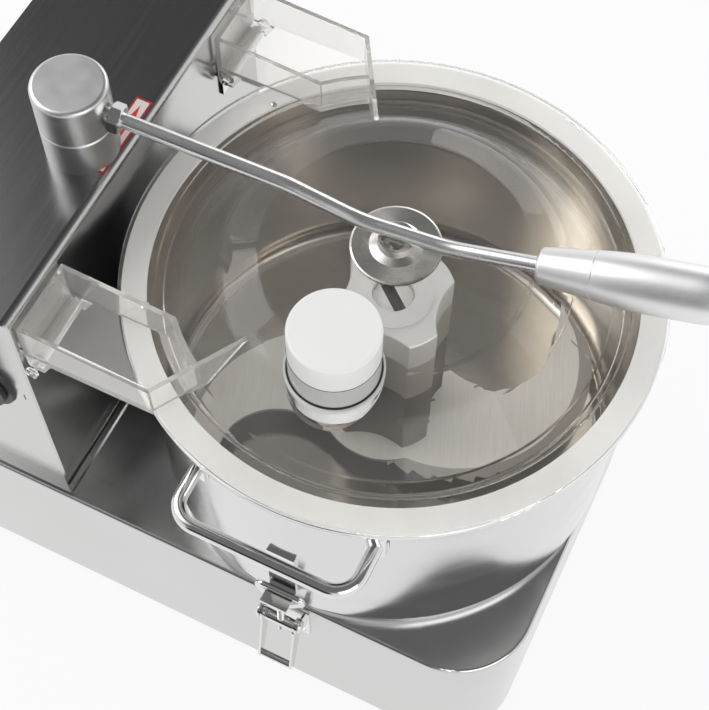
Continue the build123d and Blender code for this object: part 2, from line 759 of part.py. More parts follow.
def pressure_disc():
    """Turned stainless disc with a hollow centre cup that the lever rests on."""
    base = crown_height + crown_pad_height
    rise = cup_top - base
    body = turned(
        (0, 0), (disc_radius - 1, 0), (disc_radius, 0.8), (disc_radius, disc_thickness - 0.4),
        (disc_radius - 1.2, disc_thickness), (cup_radius + 5, disc_thickness + 0.6),
        (cup_radius, disc_thickness + 3),
        (cup_radius - 0.5, rise), (cup_radius - cup_wall, rise),
        (cup_radius - cup_wall - cup_floor, disc_thickness + cup_floor), (0, disc_thickness + cup_floor),
    )
    return Pos(0, 0, flange_top + base) * (body + Pos(0, 0, disc_thickness + cup_floor) * disc_screw())


def disc_screw():
    head = extrude(Circle(disc_screw_radius), disc_screw_height)
    slot = Rectangle(3 * disc_screw_radius, disc_screw_slot)
    return head - Pos(0, 0, disc_screw_height / 2) * extrude(slot, disc_screw_height)


def hinge_pin():
    """Clear pin with a head outside the outer lug."""
    start = ear_inner - 2
    length = ear_outer - start + 4
    head = extrude(Circle(hinge_pin_radius + 1.8), 2.5)
    pin = extrude(Circle(hinge_pin_radius), length) + Pos(0, 0, length) * head
    return Pos(-hinge_back, start, flange_top - hinge_drop) * Rot(-90, 0, 0) * pin


def hinge_bracket():
    """Barrel between the lugs, on a plate against the housing's front wall."""
    length = ear_outer - ear_inner - 2 * ear_wall - 2 * barrel_end_gap
    middle = (ear_outer + ear_inner) / 2
    level = flange_top - hinge_drop
    barrel = Pos(-hinge_back, middle, level) * Rot(90, 0, 0) * Cylinder(barrel_radius, length)
    web_depth = housing_front - hinge_back
    web = Pos(-hinge_back - web_depth / 2, middle, level - 2) * Box(web_depth, length, 6)
    plate = Pos(-housing_front + 1, middle, level - 9) * Box(2, length, 28)
    bore = Cylinder(hinge_pin_radius + running_gap, 2 * length)
    return barrel + web + plate - Pos(-hinge_back, middle, level) * Rot(90, 0, 0) * bore


# ================= blade stack =================
def polar(radius, angle):
    return radius * cos(radians(angle)), radius * sin(radians(angle))


def lobed_plan():
    """Four broad lobes with hollow flanks between them."""
    edges = []
    for quarter in range(4):
        middle = lobe_turn + 90 * quarter
        ends = [polar(lobe_radius, middle + lean) for lean in (-lobe_half_angle, 0, lobe_half_angle)]
        waist = polar(lobe_waist, middle + 45)
        following = polar(lobe_radius, middle + 90 - lobe_half_angle)
        edges.append(ThreePointArc(*ends))
        edges.append(ThreePointArc(ends[-1], waist, following))
    return make_face(edges)


def lobed_block(top, bottom):
    block = extrude(lobed_plan(), bottom - top)
    block -= extrude(Circle(shaft_radius + running_gap), bottom - top)
    return Pos(0, 0, flange_top - bottom) * block


def star_nut():
    block = lobed_block(star_top + star_boss_height, star_bottom)
    block = chamfer(block.edges().group_by(Axis.Z)[-1].filter_by(lambda e: e.length > 10), 0.8)
    boss = tube(star_boss_radius, shaft_radius + running_gap, star_boss_height)
    return block + Pos(0, 0, flange_top - star_top - star_boss_height) * boss


def upper_spacer():
    return lobed_block(star_bottom, upper_spacer_bottom)


def middle_spacer():
    return lobed_block(upper_spacer_bottom, middle_spacer_bottom)


def blade_hub():
    """Lobed clamp block over the blade and the collar under it."""
    collar = tube(hub_collar_radius, shaft_radius + running_gap, hub_collar_height)
    under = flange_top - hub_bottom - blade_thickness - hub_collar_height
    return Part() + [lobed_block(middle_spacer_bottom, hub_bottom), Pos(0, 0, under) * collar]


def wing():
    """One crescent wing: round outside edge, bevelled and toothed, and a hollow inside edge."""
    centre = Vector(*wing_centre)

    def rim(angle, inset=0.0):
        return centre + Vector(*polar(wing_radius - inset, angle))

    toothed_end = tooth_first_angle + tooth_count * tooth_pitch
    halfway = (tooth_first_angle + toothed_end) / 2
    outer = ThreePointArc(rim(tooth_first_angle), rim(halfway), rim(toothed_end))
    towards_tip = [rim(toothed_end), rim(4), rim(32, 2), rim(*wing_tip)]
    plain = Spline(*towards_tip, tangents=[outer % 1, (-0.75, 0.66)])
    inner_line = [rim(*place) for place in (wing_tip, *wing_inner_line)]
    inner = Spline(*inner_line, *wing_hub_line, tangents=[(0.2, -1), (-1, 0.3)])
    to_hub = Polyline(wing_hub_line[-1], *wing_root_line, rim(tooth_first_angle))
    plan = make_face([outer, plain, inner, *to_hub.edges()])
    for tooth in range(tooth_count):
        start = tooth_first_angle + tooth * tooth_pitch
        root = rim(start + tooth_step * tooth_pitch, tooth_depth)
        middle = rim(start + tooth_pitch * 0.6, tooth_depth * 0.45)
        end = rim(start + tooth_pitch)
        flank = ThreePointArc(root, middle, end)
        steep = Line(rim(start), root)
        outside = Polyline(end, rim(start + tooth_pitch * 0.5, -6), rim(start))
        plan -= make_face([steep, flank, *outside.edges()])
    plate = extrude(plan, blade_thickness)
    slope_end = wing_radius + 4
    drop = (blade_thickness - wing_edge) * (wing_bevel + 4) / wing_bevel
    bevel = turned(
        (wing_radius - wing_bevel, blade_thickness), (slope_end, blade_thickness - drop),
        (slope_end, blade_thickness + 1), (wing_radius - wing_bevel, blade_thickness + 1),
    )
    return plate - Pos(centre.X, centre.Y, 0) * bevel


def s_blade():
    one = wing()
    middle = extrude(Circle(blade_hub_radius), blade_thickness)
    plate = middle + one + Rot(0, 0, 180) * one
    plate -= extrude(Circle(shaft_radius + running_gap), blade_thickness)
    return Pos(0, 0, flange_top - hub_bottom - blade_thickness) * plate


# ================= spindle and belt drive =================
def spindle_shaft():
    top = flange_top - star_top - shaft_top_recess
    bottom = belt_level - belt_width / 2 - pulley_flange - 8
    journal_bottom = deck - cartridge_depth
    journal_top = deck - cartridge_flange_thickness
    body = turned(
        (0, bottom), (pulley_seat_radius, bottom), (pulley_seat_radius, journal_bottom),
        (journal_radius, journal_bottom), (journal_radius, journal_top), (shaft_radius, journal_top + 1),
        (shaft_radius, top - 1), (shaft_radius - 1, top), (0, top),
    )
    slot = Pos(0, 0, top) * Rot(0, 0, shaft_slot_turn) * Box(3 * shaft_radius, shaft_slot_width, 2 * shaft_slot_depth)
    return body - slot


def bearing_levels():
    low = deck - cartridge_depth + 3
    high = deck - cartridge_flange_thickness - spindle_bearing_width - 3
    return low, high


def spindle_bearings():
    rings = []
    for z in bearing_levels():
        ring = tube(spindle_bearing_radius, journal_radius + running_gap, spindle_bearing_width)
        rings.append(Pos(0, 0, z) * chamfer(ring.edges().group_by(Axis.Z)[-1], 0.6))
    return Part() + rings


def bearing_cartridge():
    """Flanged cast housing hung under the deck, with a nose up through the bowl's floor."""
    body = Pos(0, 0, deck - sheet - cartridge_depth) * extrude(Circle(cartridge_radius), cartridge_depth)
    flange_low = deck - sheet - cartridge_flange_thickness
    body += Pos(0, 0, flange_low) * extrude(Circle(cartridge_flange_radius), cartridge_flange_thickness)
    body += Pos(0, 0, flange_low) * extrude(Circle(nose_radius), deck + nose_height - flange_low)
    body -= Pos(0, 0, deck - 2 * cartridge_depth) * extrude(Circle(journal_radius + 1.5), 2 * cartridge_depth)
    body -= Pos(0, 0, deck - 1) * extrude(Circle(seal_radius), nose_height + 2)
    for z in bearing_levels():
        body -= Pos(0, 0, z) * extrude(Circle(spindle_bearing_radius), spindle_bearing_width)
    low = bearing_levels()[0]
    body -= Pos(0, 0, low - 10) * extrude(Circle(spindle_bearing_radius), 10)
    for place in PolarLocations(cartridge_screw_circle, cartridge_screws):
        hole = Cylinder(cartridge_screw_radius + running_gap, 4 * cartridge_flange_thickness)
        body -= place * Pos(0, 0, flange_low) * hole
    return body


def cartridge_bolts():
    level = deck - sheet - cartridge_flange_thickness
    bolt = Pos(0, 0, level - 4) * extrude(RegularPolygon(cartridge_screw_head, 6), 4)
    bolt += Pos(0, 0, level) * extrude(Circle(cartridge_screw_radius), cartridge_flange_thickness)
    return Part() + [place * bolt for place in PolarLocations(cartridge_screw_circle, cartridge_screws)]


def shaft_seal():
    ring = tube(seal_radius, shaft_radius + running_gap, nose_height - 1)
    return Pos(0, 0, deck) * ring


def flanged_pulley(radius, bore):
    """Flat-belt pulley with a lip each side."""
    half = belt_width / 2 + 0.5
    end = half + pulley_flange
    lip = radius + pulley_lip
    body = turned(
        (0, -end), (lip, -end), (lip, -half), (radius, -half), (radius, half), (lip, half), (lip, end), (0, end)
    )
    return body - Pos(0, 0, -50) * extrude(Circle(bore), 100)


def spindle_pulley():
    pulley = flanged_pulley(spindle_pulley_radius, pulley_seat_radius)
    for place in PolarLocations(spindle_pulley_radius * 0.62, 5):
        pulley -= place * Cylinder(8, 40)
    return Pos(0, 0, belt_level) * pulley


def motor_pulley():
    return Pos(motor_x, 0, belt_level) * flanged_pulley(motor_pulley_radius, motor_shaft_radius)


def belt_plan(extra):
    """Outline of a belt's run round both pulleys at this distance from their faces."""
    big = spindle_pulley_radius + extra
    small = motor_pulley_radius + extra
    span = -motor_x
    lean = (big - small) / span
    rise = (1 - lean ** 2) ** 0.5
    band = [(big * -lean, big * rise), (motor_x - small * lean, small * rise)]
    band += [(x, -y) for x, y in reversed(band)]
    return make_face(Polyline(*band, close=True)) + Circle(big) + Pos(motor_x, 0) * Circle(small)


def drive_belt():
    loop = belt_plan(body_gap + belt_thickness) - belt_plan(body_gap)
    return Pos(0, 0, belt_level - belt_width / 2) * extrude(loop, belt_width)


def motor_plate():
    plate = Box(housing_depth - 2 * sheet - 4, 3 * motor_radius, motor_plate_thickness)
    plate = fillet(plate.edges().filter_by(Axis.Z), motor_plate_thickness)
    plate = Pos(motor_x, 0, deck + motor_plate_thickness / 2) * plate
    hole = Cylinder(motor_pulley_radius + pulley_lip + 1, 4 * motor_plate_thickness)
    return plate - Pos(motor_x, 0, deck) * hole


def motor_stator():
    body = extrude(Circle(motor_radius - motor_fin_height), motor_length)
    fin = Pos(motor_radius - motor_fin_height - 1, 0, motor_length / 2)
    fin *= Box(2 * motor_fin_height, 2.2, motor_length - 10)
    body += [Rot(0, 0, 360 / motor_fin_count * i) * fin for i in range(motor_fin_count)]
    body -= extrude(Circle(rotor_radius + rotor_air_gap), motor_length)
    return Pos(motor_x, 0, stator_floor) * body


def end_shield(thickness, radius):
    shield = extrude(Circle(radius), thickness)
    shield -= extrude(Circle(motor_shaft_radius + 1.5), thickness)
    return shield


def motor_drive_end():
    """Flanged end shield that stands on the motor plate."""
    seat = motor_bearing_width + 1
    shield = end_shield(motor_flange_thickness, motor_radius + 4)
    pocket = end_shield(seat, motor_bearing_radius + 3)
    pocket -= extrude(Circle(motor_bearing_radius), motor_bearing_width)
    return Pos(motor_x, 0, motor_floor) * (shield - extrude(Circle(motor_bearing_radius), seat) + pocket)


def motor_fan_end():
    seat = motor_bearing_width + 3
    shield = end_shield(seat, motor_radius)
    shield -= extrude(Circle(motor_bearing_radius), motor_bearing_width)
    outer_edge = shield.edges().group_by(Axis.Z)[-1].sort_by(SortBy.LENGTH)[-1]
    return Pos(motor_x, 0, stator_top) * fillet(outer_edge, 4)


def motor_bearings():
    ring = tube(motor_bearing_radius, motor_shaft_radius + running_gap, motor_bearing_width)
    return Part() + [Pos(motor_x, 0, motor_floor) * ring, Pos(motor_x, 0, stator_top) * ring]


def motor_rotor():
    """Shaft and rotor core in one."""
    bottom = belt_level - belt_width / 2 - pulley_flange - 6
    shaft = Pos(0, 0, bottom) * extrude(Circle(motor_shaft_radius), stator_top + motor_bearing_width - bottom)
    inset = motor_bearing_width + 4
    core = Pos(0, 0, stator_floor + inset - motor_flange_thickness)
    core *= extrude(Circle(rotor_radius), motor_length - inset)
    return Pos(motor_x, 0, 0) * (shaft + core)


def run_capacitor():
    can = extrude(Circle(capacitor_radius), capacitor_height)
    can = fillet(can.edges().group_by(Axis.Z)[-1], 3)
    for x in (-capacitor_radius / 4, capacitor_radius / 4):
        can += Pos(x, 0, capacitor_height) * Box(1, capacitor_tab, 2 * capacitor_tab)
    return Pos(motor_x, capacitor_y, deck) * can


def lever_switch():
    """Interlock switch under the housing's top, beside the post's spindle."""
    body = Box(20, 12, 30)
    body -= Pos(0, 0, -8) * Rot(90, 0, 0) * Cylinder(1.6, 30)
    body = Pos(0, 0, -15) * body
    return Pos(post_x - 28, post_y, housing_top - sheet) * body


# ================= draw latches (operator's side; mirrored for the far side) =================
def latch_plane(x=0.0):
    """Section plane of a latch: local x is outwards from the plinth, local y is up from the deck."""
    return Plane(origin=(x, -plinth_width / 2, deck), x_dir=(0, -1, 0), z_dir=(-1, 0, 0))


def latch_slab(face, thickness, centre_x=0.0):
    """A section shape given this thickness along the machine's x, centred at centre_x."""
    return latch_plane(centre_x) * extrude(face, thickness / 2, both=True)


def disc_at(radius, out, up):
    return Pos(out, up) * Circle(radius)


def latch_base():
    plate = Pos(sheet / 2, -latch_plate_top - latch_plate_height / 2) * Rectangle(sheet, latch_plate_height)
    root = Pos(1, -latch_plate_top - 14) * Rectangle(2, 24)
    eye = disc_at(latch_eye_radius, latch_pivot_out, -latch_pivot_down)
    cheek = make_hull(root.edges() + eye.edges())
    pin = latch_slab(disc_at(latch_pivot_radius, latch_pivot_out, -latch_pivot_down), 4.6)
    head = latch_slab(disc_at(latch_pivot_radius + 1.8, latch_pivot_out, -latch_pivot_down), 1.6)
    pieces = []
    for side in (-1, 1):
        cheek_x = side * (latch_cheek - latch_cheek_thickness / 2)
        pieces.append(latch_slab(cheek, latch_cheek_thickness, cheek_x))
        pieces.append(Pos(side * (latch_cheek - 2.1), 0, 0) * pin)
        pieces.append(Pos(side * (latch_cheek + 0.6), 0, 0) * head)
    body = latch_slab(plate, latch_plate_width) + pieces
    rivet_level = deck - latch_plate_top - latch_plate_height + 2 * latch_rivet_radius
    for x in (-latch_rivet_x, latch_rivet_x):
        rivet = Rot(90, 0, 0) * Cylinder(latch_rivet_radius, sheet)
        body += Pos(x, -plinth_width / 2 - sheet, rivet_level) * rivet
    return body


def lever_arm_face():
    eye = disc_at(latch_arm_width / 2 + 1.5, latch_pivot_out, -latch_pivot_down)
    mid = disc_at(latch_arm_width / 2 + 2.2, pin_out, -pin_down)
    tip = disc_at(latch_grip_radius + 0.2, latch_tip_out, -latch_tip_down)
    return make_hull(eye.edges() + mid.edges()), make_hull(mid.edges() + tip.edges())


def latch_lever():
    """Stamped frame: two arms on the pivots, holed for the cross pin, joined at the tip."""
    arm_x = latch_cheek - latch_cheek_thickness - body_gap - latch_arm_thickness / 2
    upper, lower = lever_arm_face()
    outline = Sketch() + [upper, lower]
    outline -= disc_at(latch_pivot_radius + running_gap, latch_pivot_out, -latch_pivot_down)
    outline -= disc_at(trunnion_radius + running_gap, pin_out, -pin_down)
    bar = latch_slab(disc_at(latch_grip_radius, latch_tip_out, -latch_tip_down), 2 * arm_x)
    arms = [latch_slab(outline, latch_arm_thickness, side * arm_x) for side in (-1, 1)]
    return arms[0] + bar + arms[1]


def trunnion():
    arm_x = latch_cheek - latch_cheek_thickness - body_gap
    pin = latch_slab(disc_at(trunnion_radius, pin_out, -pin_down), 2 * arm_x)
    return pin - bail_stud(stud_radius)


def bail_place():
    """Frame of the bail: local z runs from the cross pin up to the hook, x is the machine's x."""
    origin = latch_plane().from_local_coords(Vector(pin_out, -pin_down, 0))
    top = latch_plane().from_local_coords(Vector(bail_bar_out, bail_bar_up, 0))
    return Plane(origin=origin, x_dir=(1, 0, 0), z_dir=top - origin)


def bail_stud(radius):
    length = stud_tail + trunnion_radius + bail_apex_up + pin_down
    return bail_place() * Pos(0, 0, -stud_tail - trunnion_radius) * extrude(Circle(radius), length)


def bail():
    """Threaded stud and a three-sided wire loop."""
    apex = bail_apex_up + pin_down
    top = bail_length
    half = [(bail_foot, 0, apex), (bail_half_width, 0, top)]
    points = half + [(-x, y, z) for x, y, z in reversed(half)]
    path = FilletPolyline(*points, radius=bail_bend_radius)
    start = Plane(origin=path @ 0, z_dir=path % 0)
    wire = sweep(start * Circle(bail_radius), path=path)
    yoke = Pos(0, 0, apex) * Rot(0, 90, 0) * Cylinder(bail_radius + bail_yoke_wall, 2 * bail_foot + 3)
    return bail_place() * (wire + yoke) + bail_stud(stud_radius)


# ================= rotary switch =================
def switch_frame():
    return Plane(origin=(switch_x, -housing_width / 2, deck + switch_up), x_dir=(1, 0, 0), z_dir=(0, -1, 0))


def switch_bezel():
    ring = turned(
        (switch_stem_radius + 1, 0), (switch_bezel_radius, 0),
        (switch_bezel_radius - 1.2, switch_bezel_height),
        (switch_stem_radius + 1, switch_bezel_height),
    )
    return switch_frame() * ring


def switch_knob():
    base = switch_bezel_height + body_gap
    body = extrude(Circle(switch_knob_radius), 4, taper=4)
    grip = Box(2 * switch_knob_radius - 6, 11, switch_knob_height - 4)
    grip = Pos(0, 0, 4 + (switch_knob_height - 4) / 2) * fillet(grip.edges().filter_by(Axis.Z), 4)
    pointer = Pos(0, switch_knob_radius - 6, 4) * Box(2, 8, 1)
    stem = Pos(0, 0, -base - 6) * extrude(Circle(switch_stem_radius), base + 6)
    return switch_frame() * Pos(0, 0, base) * (body + Rot(0, 0, 90) * grip + pointer + stem)


def switch_body():
    block = Pos(0, 0, -sheet - 20) * Box(36, 36, 40)
    block -= Pos(0, 0, -sheet - 8) * extrude(Circle(switch_stem_radius + running_gap), 20)
    return switch_frame() * block


# ================= cable gland =================
def cable_gland():
    frame = Plane(origin=(-housing_rear, gland_y, deck + gland_up), x_dir=(0, 1, 0), z_dir=(-1, 0, 0))
    inside = 8.0
    body = extrude(RegularPolygon(gland_hex / 2, 6, major_radius=False), 5)
    dome = turned(
        (0, 5), (9.5, 5), (9.5, 14), (8.5, gland_length - 3), (6, gland_length), (0, gland_length)
    )
    thread = Pos(0, 0, -inside) * extrude(Circle(gland_bore_radius + 4), inside)
    backnut = Pos(0, 0, -sheet - 4) * extrude(RegularPolygon(gland_hex / 2, 6, major_radius=False), 4)
    bore = Pos(0, 0, -2 * inside) * extrude(Circle(gland_bore_radius), 60)
    return frame * (body + dome + thread + backnut - bore)


# ================= all nodes =================
feet = Part() + [Pos(*place) * rubber_foot() for place in foot_places()]
foot_screws = Part() + [Pos(*place) * foot_screw() for place in foot_places()]
nodes = {
    "base_shell": plinth_shell(),
    "bottom_plate": bottom_plate(),
    "rubber_feet": feet,
    "foot_screws": foot_screws,
    "housing_shell": housing_shell(),
    "rear_cover": rear_cover(),
    "rear_cover_screws": cover_screws(),
    "housing_skirt": housing_skirt(),
    "cable_gland": cable_gland(),
    "post_base": post_base(),
    "post_spindle": post_spindle(),
    "lever_cap": lever_cap(),
    "lever_locknut": lever_locknut(),
    "lever_rod": lever_rod(),
    "lever_grip": lever_grip(),
    "lever_switch": lever_switch(),
    "bowl": bowl(),
    "bowl_rim": bowl_rim(),
    "front_bowl_handle": handle(),
    "rear_bowl_handle": mirrored(handle()),
    "front_bowl_hook": hook(),
    "rear_bowl_hook": mirrored(hook()),
    "lid": lid(),
    "front_lid_ear": lid_ear(),
    "rear_lid_ear": mirrored(lid_ear()),
    "lid_gasket": lid_gasket(),
    "pressure_disc": pressure_disc(),
    "hinge_pins": pair(hinge_pin()),
    "hinge_brackets": pair(hinge_bracket()),
    "feed_tube": feed_tube(),
    "feed_plug": feed_plug(),
    "spindle_shaft": spindle_shaft(),
    "spindle_bearings": spindle_bearings(),
    "bearing_cartridge": bearing_cartridge(),
    "cartridge_bolts": cartridge_bolts(),
    "shaft_seal": shaft_seal(),
    "star_nut": star_nut(),
    "upper_spacer": upper_spacer(),
    "middle_spacer": middle_spacer(),
    "blade_hub": blade_hub(),
    "s_blade": s_blade(),
    "spindle_pulley": spindle_pulley(),
    "drive_belt": drive_belt(),
    "motor_pulley": motor_pulley(),
    "motor_plate": motor_plate(),
    "motor_stator": motor_stator(),
    "motor_drive_end": motor_drive_end(),
    "motor_fan_end": motor_fan_end(),
    "motor_bearings": motor_bearings(),
    "motor_rotor": motor_rotor(),
    "run_capacitor": run_capacitor(),
    "front_latch_base": latch_base(),
    "front_latch_lever": latch_lever(),
    "front_latch_bail": bail() + trunnion(),
    "rear_latch_base": mirrored(latch_base()),
    "rear_latch_lever": mirrored(latch_lever()),
    "rear_latch_bail": mirrored(bail() + trunnion()),
    "switch_bezel": switch_bezel(),
    "switch_knob": switch_knob(),
    "switch_body": switch_body(),
}

if __name__ == "__main__":
    os.makedirs("parts", exist_ok=True)
    for name, solid in nodes.items():
        export_step(Pos(footprint_shift, 0, 0) * solid, f"parts/{name}.step")
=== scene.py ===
from math import cos, pi, radians, sin

import bmesh
import bpy
from mathutils import Matrix, Vector


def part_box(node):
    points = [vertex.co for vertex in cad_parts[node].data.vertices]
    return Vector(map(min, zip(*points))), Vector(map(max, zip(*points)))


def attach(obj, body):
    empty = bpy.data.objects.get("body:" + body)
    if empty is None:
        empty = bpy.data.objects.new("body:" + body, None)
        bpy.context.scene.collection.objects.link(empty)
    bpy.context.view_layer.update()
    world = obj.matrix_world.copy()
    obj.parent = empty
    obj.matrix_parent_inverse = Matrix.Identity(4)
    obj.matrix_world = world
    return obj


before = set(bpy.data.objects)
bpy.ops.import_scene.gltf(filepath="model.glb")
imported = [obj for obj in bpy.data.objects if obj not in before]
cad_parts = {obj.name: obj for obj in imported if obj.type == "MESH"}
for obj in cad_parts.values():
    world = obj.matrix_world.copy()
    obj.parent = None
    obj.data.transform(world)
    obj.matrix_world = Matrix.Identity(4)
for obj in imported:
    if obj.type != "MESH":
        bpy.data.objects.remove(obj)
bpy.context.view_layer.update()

mm = 0.001

# Places that the pieces below are set out from.
bowlLow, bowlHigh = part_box("bowl")
spindleX = (bowlLow.x + bowlHigh.x) / 2
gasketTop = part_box("lid_gasket")[1].z
lidWall = 3.5 * mm
flangeZ = gasketTop + lidWall


# Millimetres from the spindle's axis and from the top of the lid's flange.
def spot(x, y, z=0.0):
    return Vector((spindleX + x * mm, y * mm, flangeZ + z * mm))


# sRGB hex to linear colour.
def linear(hexColour):
    def channel(pair):
        value = int(pair, 16) / 255
        return value / 12.92 if value <= 0.04045 else ((value + 0.055) / 1.055) ** 2.4
    digits = hexColour.lstrip("#")
    return (*[channel(digits[i:i + 2]) for i in (0, 2, 4)], 1.0)


# One node, its settings and what feeds it.
def addNode(tree, kind, settings=None, links=None):
    node = tree.nodes.new(kind)
    for key, value in (settings or {}).items():
        if hasattr(node, key):
            setattr(node, key, value)
        else:
            node.inputs[key].default_value = value
    for key, source in (links or {}).items():
        tree.links.new(source, node.inputs[key])
    return node


def newMaterial(name):
    material = bpy.data.materials.new(name)
    material.use_nodes = True
    material.node_tree.nodes.clear()
    return material, material.node_tree


def finishMaterial(tree, shader):
    addNode(tree, "ShaderNodeOutputMaterial", links={"Surface": shader})


# Noise whose marks measure this many millimetres along x, y and z, turned about z by some degrees.
def noiseMarks(tree, size, detail=3.0, shift=0.0, turn=0.0):
    place = addNode(tree, "ShaderNodeTexCoord").outputs["Object"]
    scaled = addNode(tree, "ShaderNodeMapping", {
        "vector_type": "TEXTURE", "Scale": tuple(side * mm for side in size),
        "Location": (shift, shift, shift), "Rotation": (0, 0, radians(turn)),
    }, {"Vector": place})
    noise = addNode(tree, "ShaderNodeTexNoise", {"Scale": 1.0, "Detail": detail}, {
        "Vector": scaled.outputs["Vector"],
    })
    return noise.outputs["Fac"]


def ranged(tree, value, low, high, fromLow=0.3, fromHigh=0.7):
    return addNode(tree, "ShaderNodeMapRange", {
        "From Min": fromLow, "From Max": fromHigh, "To Min": low, "To Max": high,
    }, {"Value": value}).outputs["Result"]


# A mix of two colours, each a hex value or another node's colour.
def colourMix(tree, share, first, second):
    mixer = addNode(tree, "ShaderNodeMix", {"data_type": "RGBA"})
    sockets = {s.name: s for s in mixer.inputs if s.type == "RGBA"}
    for letter, value in (("A", first), ("B", second)):
        if isinstance(value, str):
            sockets[letter].default_value = linear(value)
        else:
            tree.links.new(value, sockets[letter])
    tree.links.new(share, mixer.inputs["Factor"])
    return [s for s in mixer.outputs if s.type == "RGBA"][0]


def bumpFrom(tree, height, depth, strength=0.5):
    return addNode(tree, "ShaderNodeBump", {"Strength": strength, "Distance": depth * mm}, {
        "Height": height,
    }).outputs["Normal"]


# Z of a place or a direction.
def zOf(tree, vector):
    return addNode(tree, "ShaderNodeSeparateXYZ", links={"Vector": vector}).outputs["Z"]


# How far a face looks up: 1 on top, 0 on a wall, -1 underneath.
def upwardness(tree):
    return zOf(tree, addNode(tree, "ShaderNodeNewGeometry").outputs["True Normal"])


# A sum of two values, the second of which may be a plain number.
def mathOf(tree, operation, first, second):
    node = addNode(tree, "ShaderNodeMath", {"operation": operation})
    tree.links.new(first, node.inputs[0])
    if isinstance(second, float):
        node.inputs[1].default_value = second
    else:
        tree.links.new(second, node.inputs[1])
    return node.outputs["Value"]


# A vector sum, with a fixed second vector where the operation takes one.
def vectorMath(tree, operation, first, second=None):
    node = addNode(tree, "ShaderNodeVectorMath", {"operation": operation})
    tree.links.new(first, node.inputs[0])
    if second is not None:
        node.inputs[1].default_value = second
    return node.outputs


def mixShaders(tree, share, first, second):
    mixer = addNode(tree, "ShaderNodeMixShader")
    if isinstance(share, float):
        mixer.inputs["Fac"].default_value = share
    else:
        tree.links.new(share, mixer.inputs["Fac"])
    tree.links.new(first, mixer.inputs[1])
    tree.links.new(second, mixer.inputs[2])
    return mixer.outputs["Shader"]


# A surface whose roughness and relief follow the same marks.
def finishSurface(tree, look, marks, colour, settings, links=None):
    shader = addNode(tree, "ShaderNodeBsdfPrincipled", settings, {
        "Base Color": colour,
        "Roughness": ranged(tree, marks, *look["rough"]),
        "Normal": bumpFrom(tree, marks, look["depth"]),
        **(links or {}),
    })
    finishMaterial(tree, shader.outputs["BSDF"])


# What the finishes of one kind share. Sizes are in mm, shift moves the cloud of colour off the fine marks.
metalCloud = {"size": (90, 90, 90), "shift": 3.7}
mouldedCloud = {"size": (60, 60, 60), "shift": 1.3, "scatter": 2.0}
clearBody = {"flow": (70, 70, 25), "ripple": 0.15, "shadowTint": (0.98, 0.98, 0.98, 1)}


# Bare metal. mark is the size of one grain mark in mm, rough the least and most roughness, and depth the
# relief in mm.
def metal(look):
    material, tree = newMaterial(look["name"])
    marks = noiseMarks(tree, look["mark"], look.get("detail", 3.0))
    tone = noiseMarks(tree, look.get("cloud", metalCloud["size"]), 2.0, metalCloud["shift"])
    colour = colourMix(tree, ranged(tree, tone, 0, 1), look["dark"], look["light"])
    links = {}
    if "turned" in look:        # lathe rings stretch each highlight into a fan
        tangent = addNode(tree, "ShaderNodeTangent", {"direction_type": "RADIAL", "axis": "Z"})
        links["Tangent"] = tangent.outputs["Tangent"]
    settings = {"Metallic": look.get("metallic", 1.0), "Anisotropic": look.get("turned", 0.0)}
    finishSurface(tree, look, marks, colour, settings, links)
    return material


# Moulded or painted surface. grit is the size of its fine texture in mm, depth its relief in mm.
def moulded(look):
    material, tree = newMaterial(look["name"])
    fine = noiseMarks(tree, (look["grit"],) * 3, 2.0)
    tone = noiseMarks(tree, mouldedCloud["size"], 2.0, mouldedCloud["shift"])
    colour = colourMix(tree, ranged(tree, tone, 0, 1), look["dark"], look["light"])
    finishSurface(tree, look, fine, colour, {
        "IOR": look["ior"], "Subsurface Weight": look.get("milky", 0.0),
        "Subsurface Radius": (mouldedCloud["scatter"] * mm,) * 3,
    })
    return material


# Clear moulding, with a trace of haze. Lamps reach through it, so what it covers stays lit.
def clear(look):
    material, tree = newMaterial(look["name"])
    flow = noiseMarks(tree, clearBody["flow"], 1.0)
    glass = addNode(tree, "ShaderNodeBsdfPrincipled", {
        "Base Color": linear(look["tint"]), "Transmission Weight": 1.0, "IOR": look["ior"],
    }, {
        "Roughness": ranged(tree, flow, *look["rough"]),
        "Normal": bumpFrom(tree, flow, look["depth"], clearBody["ripple"]),
    })
    haze = addNode(tree, "ShaderNodeBsdfDiffuse", {"Color": linear(look["hazeColour"])})
    body = mixShaders(tree, look["haze"], glass.outputs["BSDF"], haze.outputs["BSDF"])
    through = addNode(tree, "ShaderNodeBsdfTransparent", {"Color": clearBody["shadowTint"]})
    shadow = addNode(tree, "ShaderNodeLightPath").outputs["Is Shadow Ray"]
    finishMaterial(tree, mixShaders(tree, shadow, body, through.outputs["BSDF"]))
    return material


# 304 stainless sheet, belt-brushed lengthwise and folded: a soft mirror with faint long streaks.
plinthSheet = metal({
    "name": "brushedStainlessSheet", "light": "#cecece", "dark": "#cacac9",
    "mark": (80, 1.1, 1.1), "rough": (0.16, 0.2), "depth": 0.0015, "cloud": (160, 160, 160),
})
# Stainless bar and strip, buffed: near mirror with a faint wave.
buffedSteel = metal({
    "name": "buffedStainless", "light": "#e6e6e6", "dark": "#dededd",
    "mark": (16, 16, 16), "rough": (0.05, 0.1), "depth": 0.03, "detail": 1.0,
})
# Stainless round bar, turned on a lathe and left satin: broad soft highlights.
satinSteel = metal({
    "name": "satinTurnedStainless", "light": "#d9d9d9", "dark": "#d0d0d0",
    "mark": (12, 12, 3), "rough": (0.34, 0.4), "depth": 0.001, "detail": 1.0,
})
